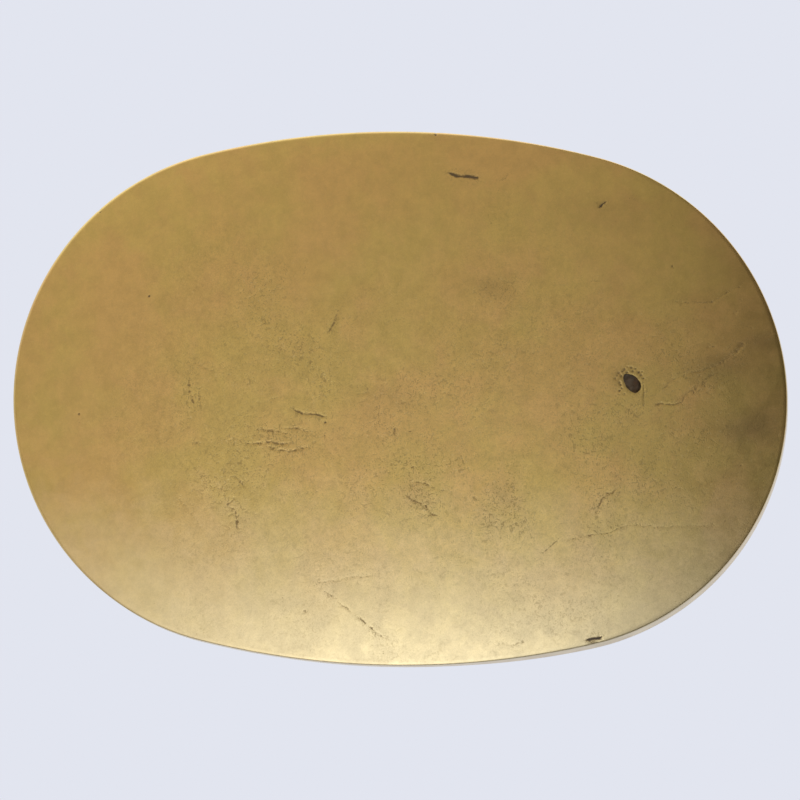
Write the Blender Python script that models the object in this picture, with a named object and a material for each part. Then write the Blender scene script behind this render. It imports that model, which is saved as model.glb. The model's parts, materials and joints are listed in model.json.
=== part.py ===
"""An oval plate belt buckle for a 38 mm belt.

A thin domed face shell is closed over a back plate, its edge rolled in behind it. A stamped
bracket riveted to the back carries a hinged loop for the belt's fixed end, and a hook with a
square tenon takes the holes of its free end.

Frame: X runs along the buckle's length, Z is up as worn, the face looks along -Y and the wearer
stands on the +Y side. The origin is the centre of the back plate's rear face.
"""

import math

import bmesh
import bpy
from mathutils import Matrix, Vector

MM = 0.001

# Outline: an oval of four tangent arcs, and how far its dome falls back.
LENGTH = 83.0 * MM
HEIGHT = 57.1 * MM
END_RADIUS = 26.8 * MM
BEND_ALONG = 170.0 * MM
BEND_ACROSS = 260.0 * MM
EDGE_DROP = 0.35 * MM

# Sheet thicknesses, and the gap kept between pieces that touch.
SHELL_SHEET = 0.8 * MM
PLATE_SHEET = 1.4 * MM
LIP_SHEET = 0.5 * MM
LIP_WIDTH = 1.9 * MM
SHELL_ROUNDING = 0.7 * MM
GAP = 0.3 * MM
PIN_GAP = 0.1 * MM

# Where the fittings stand on the plate, along X.
LOOP_AT = -15.5 * MM
HOOK_AT = 24.9 * MM

# Hinged loop, for a belt 38 mm wide.
LOOP_INSIDE = 39.0 * MM
LOOP_ARM = 2.6 * MM
LOOP_THICKNESS = 2.6 * MM
LOOP_BAR = 3.0 * MM
LOOP_REACH = 13.0 * MM
LOOP_CORNER = 4.6 * MM
LOOP_INNER_CORNER = 2.0 * MM
LOOP_EDGE = 0.45 * MM
EYE_RADIUS = 2.7 * MM
PIN_RADIUS = 1.2 * MM
PIN_HEIGHT = 7.0 * MM
PIN_HEAD_RADIUS = 1.9 * MM
PIN_HEAD = 0.8 * MM
PIN_WASHER_RADIUS = 2.4 * MM
PIN_WASHER = 0.6 * MM
SIDE_PLAY = 0.2 * MM

# Bracket, a strip with both ends bent up into ears.
BRACKET_WIDTH = 7.0 * MM
BRACKET_SHEET = 1.3 * MM
BRACKET_BEND = 1.2 * MM
EAR_PLAY = 0.35 * MM
EAR_RADIUS = 2.6 * MM
RIVET_PLACES = (-12.0 * MM, -5.0 * MM, 5.0 * MM, 12.0 * MM)
RIVET_RADIUS = 1.0 * MM
RIVET_HEAD_RADIUS = 1.9 * MM
RIVET_HEAD = 0.8 * MM
RIVET_TAIL_RADIUS = 1.55 * MM
RIVET_TAIL = 0.6 * MM

# Hook: a square tenon through the plate, a collar and a stem that leans towards the loop.
TENON_SIDE = 3.0 * MM
TENON_HEAD_RADIUS = 3.2 * MM
TENON_HEAD = 0.55 * MM
HOOK_WASHER_RADIUS = 5.0 * MM
HOOK_WASHER = 0.7 * MM
COLLAR_RADIUS = 3.0 * MM
COLLAR = 0.7 * MM
STEM_RADIUS = 2.2 * MM
TIP_RADIUS = 1.7 * MM
STEM_RISE = 2.2 * MM
HOOK_CURVE = 4.2 * MM
HOOK_TURN = math.radians(62)

# A spot, over the edge of the tenon's head, where the shell is worn through.
WORN_SPOT_AT = (24.8 * MM, 2.0 * MM)
WORN_SPOT_RADII = (0.75 * MM, 1.15 * MM)
WORN_SPOT_LEAN = math.radians(40)

# Facets.
END_STEPS = 10
SIDE_STEPS = 6
FACE_RINGS = 5
ROUND_STEPS = 24
FILLET_STEPS = 3

FACE_BRASS = ((0.52, 0.36, 0.13), 0.35, 1.0)
BACK_BRASS = ((0.44, 0.31, 0.13), 0.5, 1.0)
FITTING_BRASS = ((0.50, 0.36, 0.16), 0.4, 1.0)
DARK_STEEL = ((0.07, 0.055, 0.045), 0.55, 0.9)

HALF_LENGTH = LENGTH / 2
HALF_HEIGHT = HEIGHT / 2
SIDE_RADIUS = (HALF_LENGTH**2 + HALF_HEIGHT**2 - 2 * HALF_LENGTH * END_RADIUS) / (
    2 * (HALF_HEIGHT - END_RADIUS)
)
SIDE_HALF_ANGLE = math.atan2(HALF_LENGTH - END_RADIUS, SIDE_RADIUS - HALF_HEIGHT)
SHELL_INSIDE = -(PLATE_SHEET + GAP)
SHELL_FRONT = SHELL_INSIDE - SHELL_SHEET


def clear_scene():
    for obj in list(bpy.data.objects):
        bpy.data.objects.remove(obj)


def finish_of(name, look):
    colour, roughness, metallic = look
    material = bpy.data.materials.new(name)
    material.use_nodes = True
    surface = material.node_tree.nodes["Principled BSDF"]
    surface.inputs["Base Color"].default_value = (*colour, 1.0)
    surface.inputs["Roughness"].default_value = roughness
    surface.inputs["Metallic"].default_value = metallic
    return material


def object_from(name, bm, look=None, smooth_below=40):
    """Turns a bmesh into a named object. Without a look it is a cutter, which isn't rendered."""
    bmesh.ops.recalc_face_normals(bm, faces=bm.faces)
    mesh = bpy.data.meshes.new(name)
    bm.to_mesh(mesh)
    bm.free()
    mesh.shade_smooth()
    mesh.set_sharp_from_angle(angle=math.radians(smooth_below))
    obj = bpy.data.objects.new(name, mesh)
    bpy.context.scene.collection.objects.link(obj)
    if look is None:
        obj.hide_render = True
        obj.display_type = "WIRE"
    else:
        mesh.materials.append(finish_of(name, look))
    return obj


def boolean(obj, tool, operation):
    modifier = obj.modifiers.new(f"{operation.lower()}_{tool.name}", "BOOLEAN")
    modifier.operation = operation
    modifier.object = tool


def oval(inset=0.0):
    """The outline's (x, z) points, moved in by inset, anticlockwise from the right-hand end."""
    arcs = []
    end_span = math.pi / 2 - SIDE_HALF_ANGLE
    for turn in (0, math.pi):
        centre = Vector((HALF_LENGTH - END_RADIUS, 0)) * (1 if turn == 0 else -1)
        arcs.append((centre, END_RADIUS - inset, turn - end_span, 2 * end_span, 2 * END_STEPS))
        side = Vector((0, HALF_HEIGHT - SIDE_RADIUS)) * (1 if turn == 0 else -1)
        start = turn + end_span
        arcs.append((side, SIDE_RADIUS - inset, start, 2 * SIDE_HALF_ANGLE, 2 * SIDE_STEPS))
    points = []
    for centre, radius, start, span, steps in arcs:
        for i in range(steps):
            angle = start + span * i / steps
            points.append(centre + radius * Vector((math.cos(angle), math.sin(angle))))
    return points


def dome(x, z):
    """How far the plate has fallen back towards the wearer at (x, z)."""
    reach = (x / HALF_LENGTH) ** 2 + (z / HALF_HEIGHT) ** 2
    return x * x / (2 * BEND_ALONG) + z * z / (2 * BEND_ACROSS) + EDGE_DROP * reach**3


def ring(inset, height, shrink=1.0):
    """A ring of points on the dome, height behind the back plate's rear face."""
    return [
        Vector((x * shrink, dome(x * shrink, z * shrink) + height, z * shrink))
        for x, z in oval(inset)
    ]


def skin(rings, first_tip, last_tip):
    """A closed surface through the rings, with a fan of triangles to a tip at each end."""
    bm = bmesh.new()
    loops = [[bm.verts.new(point) for point in points] for points in rings]
    for tip, loop in ((first_tip, loops[0]), (last_tip, loops[-1])):
        centre = bm.verts.new(tip)
        for a, b in zip(loop, loop[1:] + loop[:1]):
            bm.faces.new((centre, a, b))
    for near, far in zip(loops, loops[1:]):
        for i in range(len(near)):
            j = (i + 1) % len(near)
            bm.faces.new((near[i], near[j], far[j], far[i]))
    return bm


def turned(profile, steps=ROUND_STEPS):
    """A solid turned about its Y axis, from (radius, y) points whose ends lie on the axis."""
    middle = profile[1:-1]
    rings = []
    for radius, y in middle:
        angles = [2 * math.pi * i / steps for i in range(steps)]
        rings.append([Vector((radius * math.cos(a), y, radius * math.sin(a))) for a in angles])
    return skin(rings, Vector((0, profile[0][1], 0)), Vector((0, profile[-1][1], 0)))


def prism(outline, low, high, axis="Z"):
    """An outline in the plane across axis, extruded from low to high along it."""
    place = {
        "Y": lambda a, b, along: Vector((a, along, b)),
        "Z": lambda a, b, along: Vector((a, b, along)),
    }[axis]
    bm = bmesh.new()
    bottom = bm.faces.new([bm.verts.new(place(a, b, low)) for a, b in outline])
    shift = place(0, 0, high) - place(0, 0, low)
    moved = bmesh.ops.extrude_face_region(bm, geom=[bottom])
    corners = [v for v in moved["geom"] if isinstance(v, bmesh.types.BMVert)]
    bmesh.ops.translate(bm, vec=shift, verts=corners)
    return bm


def arc(centre, radius, start, end, steps):
    """Points on an arc between two angles in degrees, both ends included."""
    angles = [math.radians(start + (end - start) * i / steps) for i in range(steps + 1)]
    return [(centre[0] + radius * math.cos(a), centre[1] + radius * math.sin(a)) for a in angles]


def disc_of(radius, low, high, steps=ROUND_STEPS):
    """A plain cylinder along Z."""
    return prism(arc((0, 0), radius, 0, 360 * (steps - 1) / steps, steps - 1), low, high)


def stand_on_plate(name, x, lift=0.0):
    """An empty on the plate's rear face at x, with its Y axis along the plate's normal there."""
    slope = math.atan((dome(x + MM, 0) - dome(x - MM, 0)) / (2 * MM))
    empty = bpy.data.objects.new(name, None)
    bpy.context.scene.collection.objects.link(empty)
    normal = Vector((-math.sin(slope), math.cos(slope), 0))
    empty.location = Vector((x, dome(x, 0), 0)) + normal * lift
    empty.rotation_euler = (0, 0, slope)
    return empty


def child_of(obj, empty, location=(0, 0, 0), rotation=(0, 0, 0)):
    obj.parent = empty
    obj.location = location
    obj.rotation_euler = rotation
    return obj


def make_face_shell():
    rings = []
    for i in range(1, FACE_RINGS + 1):
        rings.append(ring(2.4 * MM, SHELL_FRONT, i / FACE_RINGS))
    for i in range(FILLET_STEPS + 1):
        turn = math.pi / 2 * i / FILLET_STEPS
        inset = SHELL_ROUNDING * (1 - math.sin(turn))
        rings.append(ring(inset, SHELL_FRONT + SHELL_ROUNDING * (1 - math.cos(turn))))
    lip_back = GAP + LIP_SHEET
    rings.append(ring(0, lip_back - LIP_SHEET / 2))
    rings.append(ring(LIP_SHEET / 2, lip_back))
    rings.append(ring(LIP_WIDTH, lip_back))
    rings.append(ring(LIP_WIDTH, GAP))
    rings.append(ring(SHELL_SHEET, GAP))
    rings.append(ring(SHELL_SHEET, SHELL_INSIDE))
    for i in range(FACE_RINGS - 1, 0, -1):
        rings.append(ring(SHELL_SHEET, SHELL_INSIDE, i / FACE_RINGS))
    front, back = Vector((0, SHELL_FRONT, 0)), Vector((0, SHELL_INSIDE, 0))
    shell = object_from("face_shell", skin(rings, front, back), FACE_BRASS)
    x, z = WORN_SPOT_AT
    spot = [(WORN_SPOT_RADII[0] * a, WORN_SPOT_RADII[1] * b) for a, b in arc((0, 0), 1, 0, 330, 11)]
    cutter = object_from("worn_spot_cutter", prism(spot, -3 * MM, 3 * MM, "Y"))
    cutter.location = (x, dome(x, z) + SHELL_FRONT, z)
    cutter.rotation_euler = (0, -WORN_SPOT_LEAN, 0)
    boolean(shell, cutter, "DIFFERENCE")
    return shell


def make_back_plate():
    inset = SHELL_SHEET + GAP
    chamfer = 0.2 * MM
    rings = [ring(inset + chamfer, -PLATE_SHEET, i / FACE_RINGS) for i in range(1, FACE_RINGS + 1)]
    rings.append(ring(inset, chamfer - PLATE_SHEET))
    rings.append(ring(inset, -chamfer))
    rings += [ring(inset + chamfer, 0, i / FACE_RINGS) for i in range(FACE_RINGS, 0, -1)]
    bm = skin(rings, Vector((0, -PLATE_SHEET, 0)), Vector((0, 0, 0)))
    return object_from("back_plate", bm, BACK_BRASS)


def bracket_stations():
    """(z, y, lean) along the strip's middle, from one ear's top to the other's, and its half width."""
    ear_z = LOOP_INSIDE / 2 - EAR_PLAY - BRACKET_SHEET / 2
    foot_y = GAP + BRACKET_SHEET / 2
    turn_radius = BRACKET_BEND + BRACKET_SHEET / 2
    corner_z = ear_z - turn_radius
    stations = []
    top = PIN_HEIGHT + EAR_RADIUS
    for i in range(6):
        drop = EAR_RADIUS * (1 - math.cos(math.pi / 2 * (i + 1) / 6))
        half = math.sqrt(EAR_RADIUS**2 - (EAR_RADIUS - drop) ** 2)
        stations.append((ear_z, top - drop, math.pi / 2, half))
    base = dome(LOOP_AT, corner_z) - dome(LOOP_AT, 0) + foot_y
    stations.append((ear_z, base + turn_radius, math.pi / 2, BRACKET_WIDTH / 2))
    for i in range(1, 5):
        a = math.pi / 2 * (1 - i / 5)
        z = corner_z + turn_radius * math.sin(a)
        y = base + turn_radius * (1 - math.cos(a))
        stations.append((z, y, a, BRACKET_WIDTH / 2))
    foot_steps = 10
    for i in range(foot_steps // 2 + 1):
        z = corner_z * (1 - 2 * i / foot_steps)
        y = dome(LOOP_AT, z) - dome(LOOP_AT, 0) + foot_y
        stations.append((z, y, 0.0, BRACKET_WIDTH / 2))
    mirrored = [(-z, y, -lean, half) for z, y, lean, half in reversed(stations[:-1])]
    return stations + mirrored


def make_bracket(frame):
    """The strip, swept from ear to ear, then drilled for the pin and the rivets."""
    bm = bmesh.new()
    sections = []
    for z, y, lean, half in bracket_stations():
        across = Vector((0, math.cos(lean), -math.sin(lean))) * BRACKET_SHEET / 2
        middle = Vector((0, y, z))
        corners = [
            middle + across + Vector((half, 0, 0)),
            middle - across + Vector((half, 0, 0)),
            middle - across - Vector((half, 0, 0)),
            middle + across - Vector((half, 0, 0)),
        ]
        sections.append([bm.verts.new(point) for point in corners])
    for near, far in zip(sections, sections[1:]):
        for i in range(4):
            j = (i + 1) % 4
            bm.faces.new((near[i], near[j], far[j], far[i]))
    bm.faces.new(sections[0])
    bm.faces.new(sections[-1])
    bracket = child_of(object_from("bail_bracket", bm, FITTING_BRASS), frame)
    bore = object_from("ear_bore_cutter", disc_of(PIN_RADIUS + PIN_GAP, -22 * MM, 22 * MM))
    child_of(bore, frame, (0, PIN_HEIGHT, 0))
    boolean(bracket, bore, "DIFFERENCE")
    return bracket


def rivet_profile(extra=0.0):
    """A rivet along Y: its countersunk tail in the back plate, its shank, and its domed head."""
    seat = 2 * GAP + BRACKET_SHEET
    tail_end = -PLATE_SHEET
    shank = RIVET_RADIUS + extra
    points = [(0, tail_end - 3 * extra), (RIVET_TAIL_RADIUS + extra, tail_end - 3 * extra)]
    if extra:
        points.append((RIVET_TAIL_RADIUS + extra, tail_end))
    points += [(shank, tail_end + RIVET_TAIL), (shank, seat)]
    if extra:
        return points + [(0, seat)]
    points += [(RIVET_HEAD_RADIUS, seat)]
    points += arc_of_head(RIVET_HEAD_RADIUS, RIVET_HEAD, seat)
    return points


def arc_of_head(radius, rise, seat, steps=4):
    """The round top of a rivet head or pin end, from its rim to the axis."""
    turns = [math.pi / 2 * i / steps for i in range(1, steps + 1)]
    return [(radius * math.cos(t), seat + rise * math.sin(t)) for t in turns]


def make_rivets(bracket, plate):
    for number, z in enumerate(RIVET_PLACES, 1):
        frame = stand_on_plate(f"rivet_frame_{number}", LOOP_AT)
        lift = dome(LOOP_AT, z) - dome(LOOP_AT, 0)
        rivet = object_from(f"bracket_rivet_{number}", turned(rivet_profile()), FITTING_BRASS)
        child_of(rivet, frame, (0, lift, z))
        cutter = object_from(f"rivet_cutter_{number}", turned(rivet_profile(PIN_GAP)))
        child_of(cutter, frame, (0, lift, z))
        boolean(bracket, cutter, "DIFFERENCE")
        boolean(plate, cutter, "DIFFERENCE")


def loop_outline():
    """The loop's flat U in (x, z), round the outside and back along the inside."""
    outside, inside = LOOP_INSIDE / 2 + LOOP_ARM, LOOP_INSIDE / 2
    far, near = -LOOP_REACH, LOOP_BAR - LOOP_REACH
    big, small = LOOP_CORNER, LOOP_INNER_CORNER
    upper_outer = arc((far + big, outside - big), big, 90, 180, 6)
    lower_outer = arc((far + big, big - outside), big, 180, 270, 6)
    lower_inner = arc((near + small, small - inside), small, 270, 180, 4)
    upper_inner = arc((near + small, inside - small), small, 180, 90, 4)
    ends = [(0, outside)], [(0, -outside), (0, -inside)], [(0, inside)]
    return ends[0] + upper_outer + lower_outer + ends[1] + lower_inner + upper_inner + ends[2]


def make_bail(axis):
    """The loop that the belt's fixed end folds round, with an eye at the end of each arm."""
    half = LOOP_THICKNESS / 2
    bail = object_from("bail", prism(loop_outline(), -half, half, "Y"), FITTING_BRASS)
    child_of(bail, axis)
    bevel = bail.modifiers.new("softened_edges", "BEVEL")
    bevel.width = LOOP_EDGE
    bevel.segments = 2
    for side, place in (("upper", 1), ("lower", -1)):
        low = place * LOOP_INSIDE / 2
        high = place * (LOOP_INSIDE / 2 + LOOP_ARM)
        eye = object_from(f"eye_{side}", disc_of(EYE_RADIUS, min(low, high), max(low, high)))
        boolean(bail, child_of(eye, axis), "UNION")
    bore = object_from("eye_bore_cutter", disc_of(PIN_RADIUS + PIN_GAP, -24 * MM, 24 * MM))
    boolean(bail, child_of(bore, axis), "DIFFERENCE")
    return bail


def make_pin(axis):
    """The hinge pin and the washer under each of its closed ends."""
    washer_at = LOOP_INSIDE / 2 + LOOP_ARM + SIDE_PLAY
    head_at = washer_at + PIN_WASHER + SIDE_PLAY
    half = [(PIN_RADIUS, head_at), (PIN_HEAD_RADIUS, head_at)]
    half += arc_of_head(PIN_HEAD_RADIUS, PIN_HEAD, head_at)
    profile = [(radius, -y) for radius, y in reversed(half)] + half
    pin = object_from("hinge_pin", turned(profile), DARK_STEEL)
    child_of(pin, axis, rotation=(math.pi / 2, 0, 0))
    hole = object_from("pin_washer_cutter", disc_of(PIN_RADIUS + PIN_GAP, -24 * MM, 24 * MM))
    child_of(hole, axis)
    for side, place in (("upper", 1), ("lower", -1)):
        ends = sorted((place * washer_at, place * (washer_at + PIN_WASHER)))
        washer = object_from(f"pin_washer_{side}", disc_of(PIN_WASHER_RADIUS, *ends), FITTING_BRASS)
        boolean(child_of(washer, axis), hole, "DIFFERENCE")


def hook_stations():
    """(x, y, lean, radius) rings of the round part, from its collar to the middle of its tip."""
    collar_low = 2 * GAP + HOOK_WASHER
    collar_high = collar_low + COLLAR
    stem_top = collar_high + STEM_RISE
    stations = [
        (0, collar_low, 0, COLLAR_RADIUS - 0.2 * MM),
        (0, collar_low + 0.2 * MM, 0, COLLAR_RADIUS),
        (0, collar_high - 0.2 * MM, 0, COLLAR_RADIUS),
        (0, collar_high, 0, COLLAR_RADIUS - 0.2 * MM),
        (0, collar_high + 0.1 * MM, 0, STEM_RADIUS + 0.15 * MM),
        (0, collar_high + 0.4 * MM, 0, STEM_RADIUS),
    ]
    steps = 7
    for i in range(steps + 1):
        lean = HOOK_TURN * i / steps
        x = -HOOK_CURVE * (1 - math.cos(lean))
        y = stem_top + HOOK_CURVE * math.sin(lean)
        stations.append((x, y, lean, STEM_RADIUS + (TIP_RADIUS - STEM_RADIUS) * i / steps))
    end_x, end_y = stations[-1][:2]
    for i in range(1, 4):
        turn = math.pi / 2 * i / 4
        ahead = TIP_RADIUS * math.sin(turn)
        x = end_x - math.sin(HOOK_TURN) * ahead
        y = end_y + math.cos(HOOK_TURN) * ahead
        stations.append((x, y, HOOK_TURN, TIP_RADIUS * math.cos(turn)))
    tip = Vector((-math.sin(HOOK_TURN), math.cos(HOOK_TURN), 0)) * TIP_RADIUS
    return stations, Vector((end_x, end_y, 0)) + tip


def square(side, low, high):
    half = side / 2
    return prism([(-half, -half), (half, -half), (half, half), (-half, half)], low, high, "Y")


def make_hook(frame, plate):
    """The hook, its washer, and the square hole and round seat that they need in the plate."""
    stations, tip = hook_stations()
    rings = []
    for x, y, lean, radius in stations:
        turn = Matrix.Rotation(lean, 3, "Z")
        angles = [2 * math.pi * i / ROUND_STEPS for i in range(ROUND_STEPS)]
        flat = [Vector((radius * math.cos(a), 0, radius * math.sin(a))) for a in angles]
        rings.append([turn @ point + Vector((x, y, 0)) for point in flat])
    hook = object_from("hook", skin(rings, Vector((0, stations[0][1], 0)), tip), DARK_STEEL)
    child_of(hook, frame)
    head_top = TENON_HEAD - PLATE_SHEET
    tenon = object_from("tenon", square(TENON_SIDE, head_top - 0.2 * MM, 2 * GAP + HOOK_WASHER + 0.3 * MM))
    boolean(hook, child_of(tenon, frame), "UNION")
    head = [(0, -PLATE_SHEET), (TENON_HEAD_RADIUS, -PLATE_SHEET), (TENON_HEAD_RADIUS, head_top), (0, head_top)]
    boolean(hook, child_of(object_from("tenon_head", turned(head)), frame), "UNION")
    washer = object_from("hook_washer", turned(washer_profile()), FITTING_BRASS)
    child_of(washer, frame)
    hole = child_of(object_from("tenon_cutter", square(TENON_SIDE + 2 * PIN_GAP, -4 * MM, 4 * MM)), frame)
    boolean(washer, hole, "DIFFERENCE")
    boolean(plate, hole, "DIFFERENCE")
    seat = TENON_HEAD_RADIUS + PIN_GAP
    depth = head_top + PIN_GAP
    seat_profile = [(0, -PLATE_SHEET - GAP), (seat, -PLATE_SHEET - GAP), (seat, depth), (0, depth)]
    boolean(plate, child_of(object_from("seat_cutter", turned(seat_profile)), frame), "DIFFERENCE")


def washer_profile():
    """The hook's washer, with its rear edge softened."""
    low, high, edge = GAP, GAP + HOOK_WASHER, 0.2 * MM
    radius = HOOK_WASHER_RADIUS
    return [(0, low), (radius, low), (radius, high - edge), (radius - edge, high), (0, high)]


def main():
    clear_scene()
    make_face_shell()
    plate = make_back_plate()
    bracket = make_bracket(stand_on_plate("bracket_frame", LOOP_AT))
    make_rivets(bracket, plate)
    axis = stand_on_plate("bail_axis", LOOP_AT, PIN_HEIGHT)
    make_bail(axis)
    make_pin(axis)
    make_hook(stand_on_plate("hook_frame", HOOK_AT), plate)


main()
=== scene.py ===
"""Looks for an oval plate belt buckle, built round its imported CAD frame.

Lengths are in millimetres until a mesh is made. X runs along the buckle, Z is up, and the face looks
along -Y, so a place on the face is (x, z) from the plate's centre.
"""

import json
import math

import bmesh
import bpy
import numpy as np
from mathutils import Matrix, Vector


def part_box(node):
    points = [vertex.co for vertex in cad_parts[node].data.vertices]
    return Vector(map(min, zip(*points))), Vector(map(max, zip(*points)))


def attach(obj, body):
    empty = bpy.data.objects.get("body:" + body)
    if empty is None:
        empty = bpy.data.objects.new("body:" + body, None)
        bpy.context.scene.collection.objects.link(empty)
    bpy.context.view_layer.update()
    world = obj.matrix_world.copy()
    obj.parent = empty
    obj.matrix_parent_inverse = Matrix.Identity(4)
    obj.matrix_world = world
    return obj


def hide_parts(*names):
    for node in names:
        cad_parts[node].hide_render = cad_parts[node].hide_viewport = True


M = 0.001

# The plate's outline and dome, as the CAD has them.
END_RADIUS = 26.8
BEND_ALONG = 170.0
BEND_ACROSS = 260.0
EDGE_DROP = 0.35
SHELL_SHEET = 0.8
PLATE_SHEET = 1.4
GAP = 0.3
LIP_SHEET = 0.5
LIP_WIDTH = 1.9
SHELL_INSIDE = -(PLATE_SHEET + GAP)
SHELL_FRONT = SHELL_INSIDE - SHELL_SHEET

# The plate behind the face, and the fittings on it, as the CAD has them.
PLATE_INSET, PLATE_CHAMFER = 1.1, 0.2
PLATE_CELLS_ALONG, PLATE_CELLS_ACROSS = 280, 196
LOOP_AT, HOOK_AT = -15.5, 24.9
PIN_GAP, SIDE_PLAY = 0.1, 0.2
LOOP_INSIDE, LOOP_ARM, LOOP_THICKNESS = 39.0, 2.6, 2.6
LOOP_BAR, LOOP_REACH = 3.0, 13.0
LOOP_CORNER, LOOP_INNER_CORNER, LOOP_EDGE = 4.6, 2.0, 0.45
EYE_RADIUS = 2.7
PIN_RADIUS, PIN_HEIGHT, PIN_HEAD_RADIUS, PIN_HEAD = 1.2, 7.0, 1.9, 0.8
PIN_WASHER_RADIUS, PIN_WASHER = 2.4, 0.6
BRACKET_WIDTH, BRACKET_SHEET, BRACKET_BEND = 7.0, 1.3, 1.2
EAR_PLAY, EAR_RADIUS = 0.35, 2.6
RIVET_PLACES = (-12.0, -5.0, 5.0, 12.0)
RIVET_RADIUS, RIVET_HEAD_RADIUS, RIVET_HEAD = 1.0, 1.9, 0.8
RIVET_TAIL_RADIUS, RIVET_TAIL = 1.55, 0.6
TENON_SIDE, TENON_HEAD_RADIUS, TENON_HEAD = 3.0, 3.2, 0.55
HOOK_WASHER_RADIUS, HOOK_WASHER = 5.0, 0.7
COLLAR_RADIUS, COLLAR = 3.0, 0.7
STEM_RADIUS, TIP_RADIUS, STEM_RISE = 2.2, 1.7, 2.2
HOOK_CURVE, HOOK_TURN = 4.2, math.radians(62)
SOFTENED_CELL, SOFTENED_DENT = 0.12, 0.022

# The face's mesh: cells along and across, and the block of them that the worn spot's rings replace.
CELLS_ALONG = 600
CELLS_ACROSS = 424
SPOT_CELLS = 32
FACE_EDGE = 0.42

# The rim's rings over the face's edge, down the wall, round its bend and along the lip, and the lip's curves.
EDGE_RINGS, WALL_RINGS, BEND_RINGS, LIP_RINGS, TIP_RINGS = 7, 8, 5, 8, 3
LIP_BEND, LIP_ROUND = 0.35, 0.15

# What share of their listed depth the marks have, and how far dirt spreads past a pit's listed radius.
MARK_DEPTH = 0.4
PIT_SPREAD = 1.45

# The marks' places are as the camera sees them, flat in the rim's plane, this far behind the dome's top.
RIM_DEPTH = 5.2
CAMERA_RIGHT, CAMERA_BELOW = 2.6, 3.6

SPOT_AT = (24.98, 1.80)
SPOT_RADII = (0.74, 1.16)
SPOT_LEAN = math.radians(40)


# ---------------------------------------------------------------- noise and small maths


def hashed(ix, iz, seed):
    """A repeatable value from 0 to 1 for each pair of whole numbers."""
    h = (ix.astype(np.int64) * 374761393 + iz.astype(np.int64) * 668265263 + seed * 974634777) & 0xFFFFFFFF
    h = ((h ^ (h >> 13)) * 1274126177) & 0xFFFFFFFF
    return ((h ^ (h >> 16)) & 0xFFFFFF) / float(0xFFFFFF)


def value_noise(x, z, size, seed):
    """Smooth noise from -1 to 1 with features of that size."""
    gx, gz = x / size, z / size
    ix, iz = np.floor(gx), np.floor(gz)
    fx, fz = gx - ix, gz - iz
    fx, fz = fx * fx * (3 - 2 * fx), fz * fz * (3 - 2 * fz)
    a, b = hashed(ix, iz, seed), hashed(ix + 1, iz, seed)
    c, d = hashed(ix, iz + 1, seed), hashed(ix + 1, iz + 1, seed)
    return 2 * ((a * (1 - fx) + b * fx) * (1 - fz) + (c * (1 - fx) + d * fx) * fz) - 1


def layered_noise(x, z, size, seed, layers=4, fade=0.5):
    total, weight = 0.0, 1.0
    for k in range(layers):
        angle = 0.6 * k
        rx = x * math.cos(angle) - z * math.sin(angle)
        rz = x * math.sin(angle) + z * math.cos(angle)
        total = total + weight * value_noise(rx, rz, size / 2**k, seed + 17 * k)
        weight *= fade
    return total


def smoothstep(low, high, value):
    t = np.clip((value - low) / (high - low), 0, 1)
    return t * t * (3 - 2 * t)


# ---------------------------------------------------------------- the plate's shape


def dome(x, z):
    """How far the plate has fallen back at (x, z)."""
    reach = (x / HALF_LENGTH) ** 2 + (z / HALF_HEIGHT) ** 2
    return x * x / (2 * BEND_ALONG) + z * z / (2 * BEND_ACROSS) + EDGE_DROP * reach**3


def outline(angle, inset=0.0):
    """(x, z) where rays at these angles leave the oval moved in by inset, and the outward normals there."""
    c, s = np.cos(angle), np.sin(angle)
    end_centre, side_centre = HALF_LENGTH - END_RADIUS, SIDE_RADIUS - HALF_HEIGHT
    end, side = END_RADIUS - inset, SIDE_RADIUS - inset
    join = math.atan2(end * math.cos(SIDE_HALF_ANGLE), end_centre + end * math.sin(SIDE_HALF_ANGLE))
    to_end = end_centre * np.abs(c) + np.sqrt(end**2 - (end_centre * s) ** 2)
    to_side = -side_centre * np.abs(s) + np.sqrt(np.maximum(side**2 - (side_centre * c) ** 2, 0))
    at_end = np.arctan2(np.abs(s), np.abs(c)) < join
    reach = np.where(at_end, to_end, to_side)
    x, z = reach * c, reach * s
    nx = np.where(at_end, x - np.sign(c) * end_centre, x)
    nz = np.where(at_end, z, z + np.sign(s) * side_centre)
    length = np.hypot(nx, nz)
    return x, z, nx / length, nz / length


def oval_grid(along, across, inset):
    """A grid of (x, z) that fills the oval, from a square whose edge becomes the outline."""
    u, v = np.meshgrid(np.linspace(-1, 1, along + 1), np.linspace(-1, 1, across + 1), indexing="ij")
    du, dv = u * np.sqrt(1 - v * v / 2), v * np.sqrt(1 - u * u / 2)
    a, b = HALF_LENGTH - inset, HALF_HEIGHT - inset
    angle = np.arctan2(b * dv, a * du)
    ellipse = 1 / np.sqrt((np.cos(angle) / a) ** 2 + (np.sin(angle) / b) ** 2)
    x, z, _, _ = outline(angle, inset)
    scale = 1 + (np.hypot(x, z) / ellipse - 1) * (du * du + dv * dv)
    return a * du * scale, b * dv * scale


def border(along, across, first_i=0, first_j=0):
    """(i, j) of the grid points round a block, anticlockwise from its lower left corner."""
    low = [(i, 0) for i in range(along)]
    right = [(along, j) for j in range(across)]
    high = [(i, across) for i in range(along, 0, -1)]
    left = [(0, j) for j in range(across, 0, -1)]
    return np.array(low + right + high + left) + (first_i, first_j)


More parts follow.
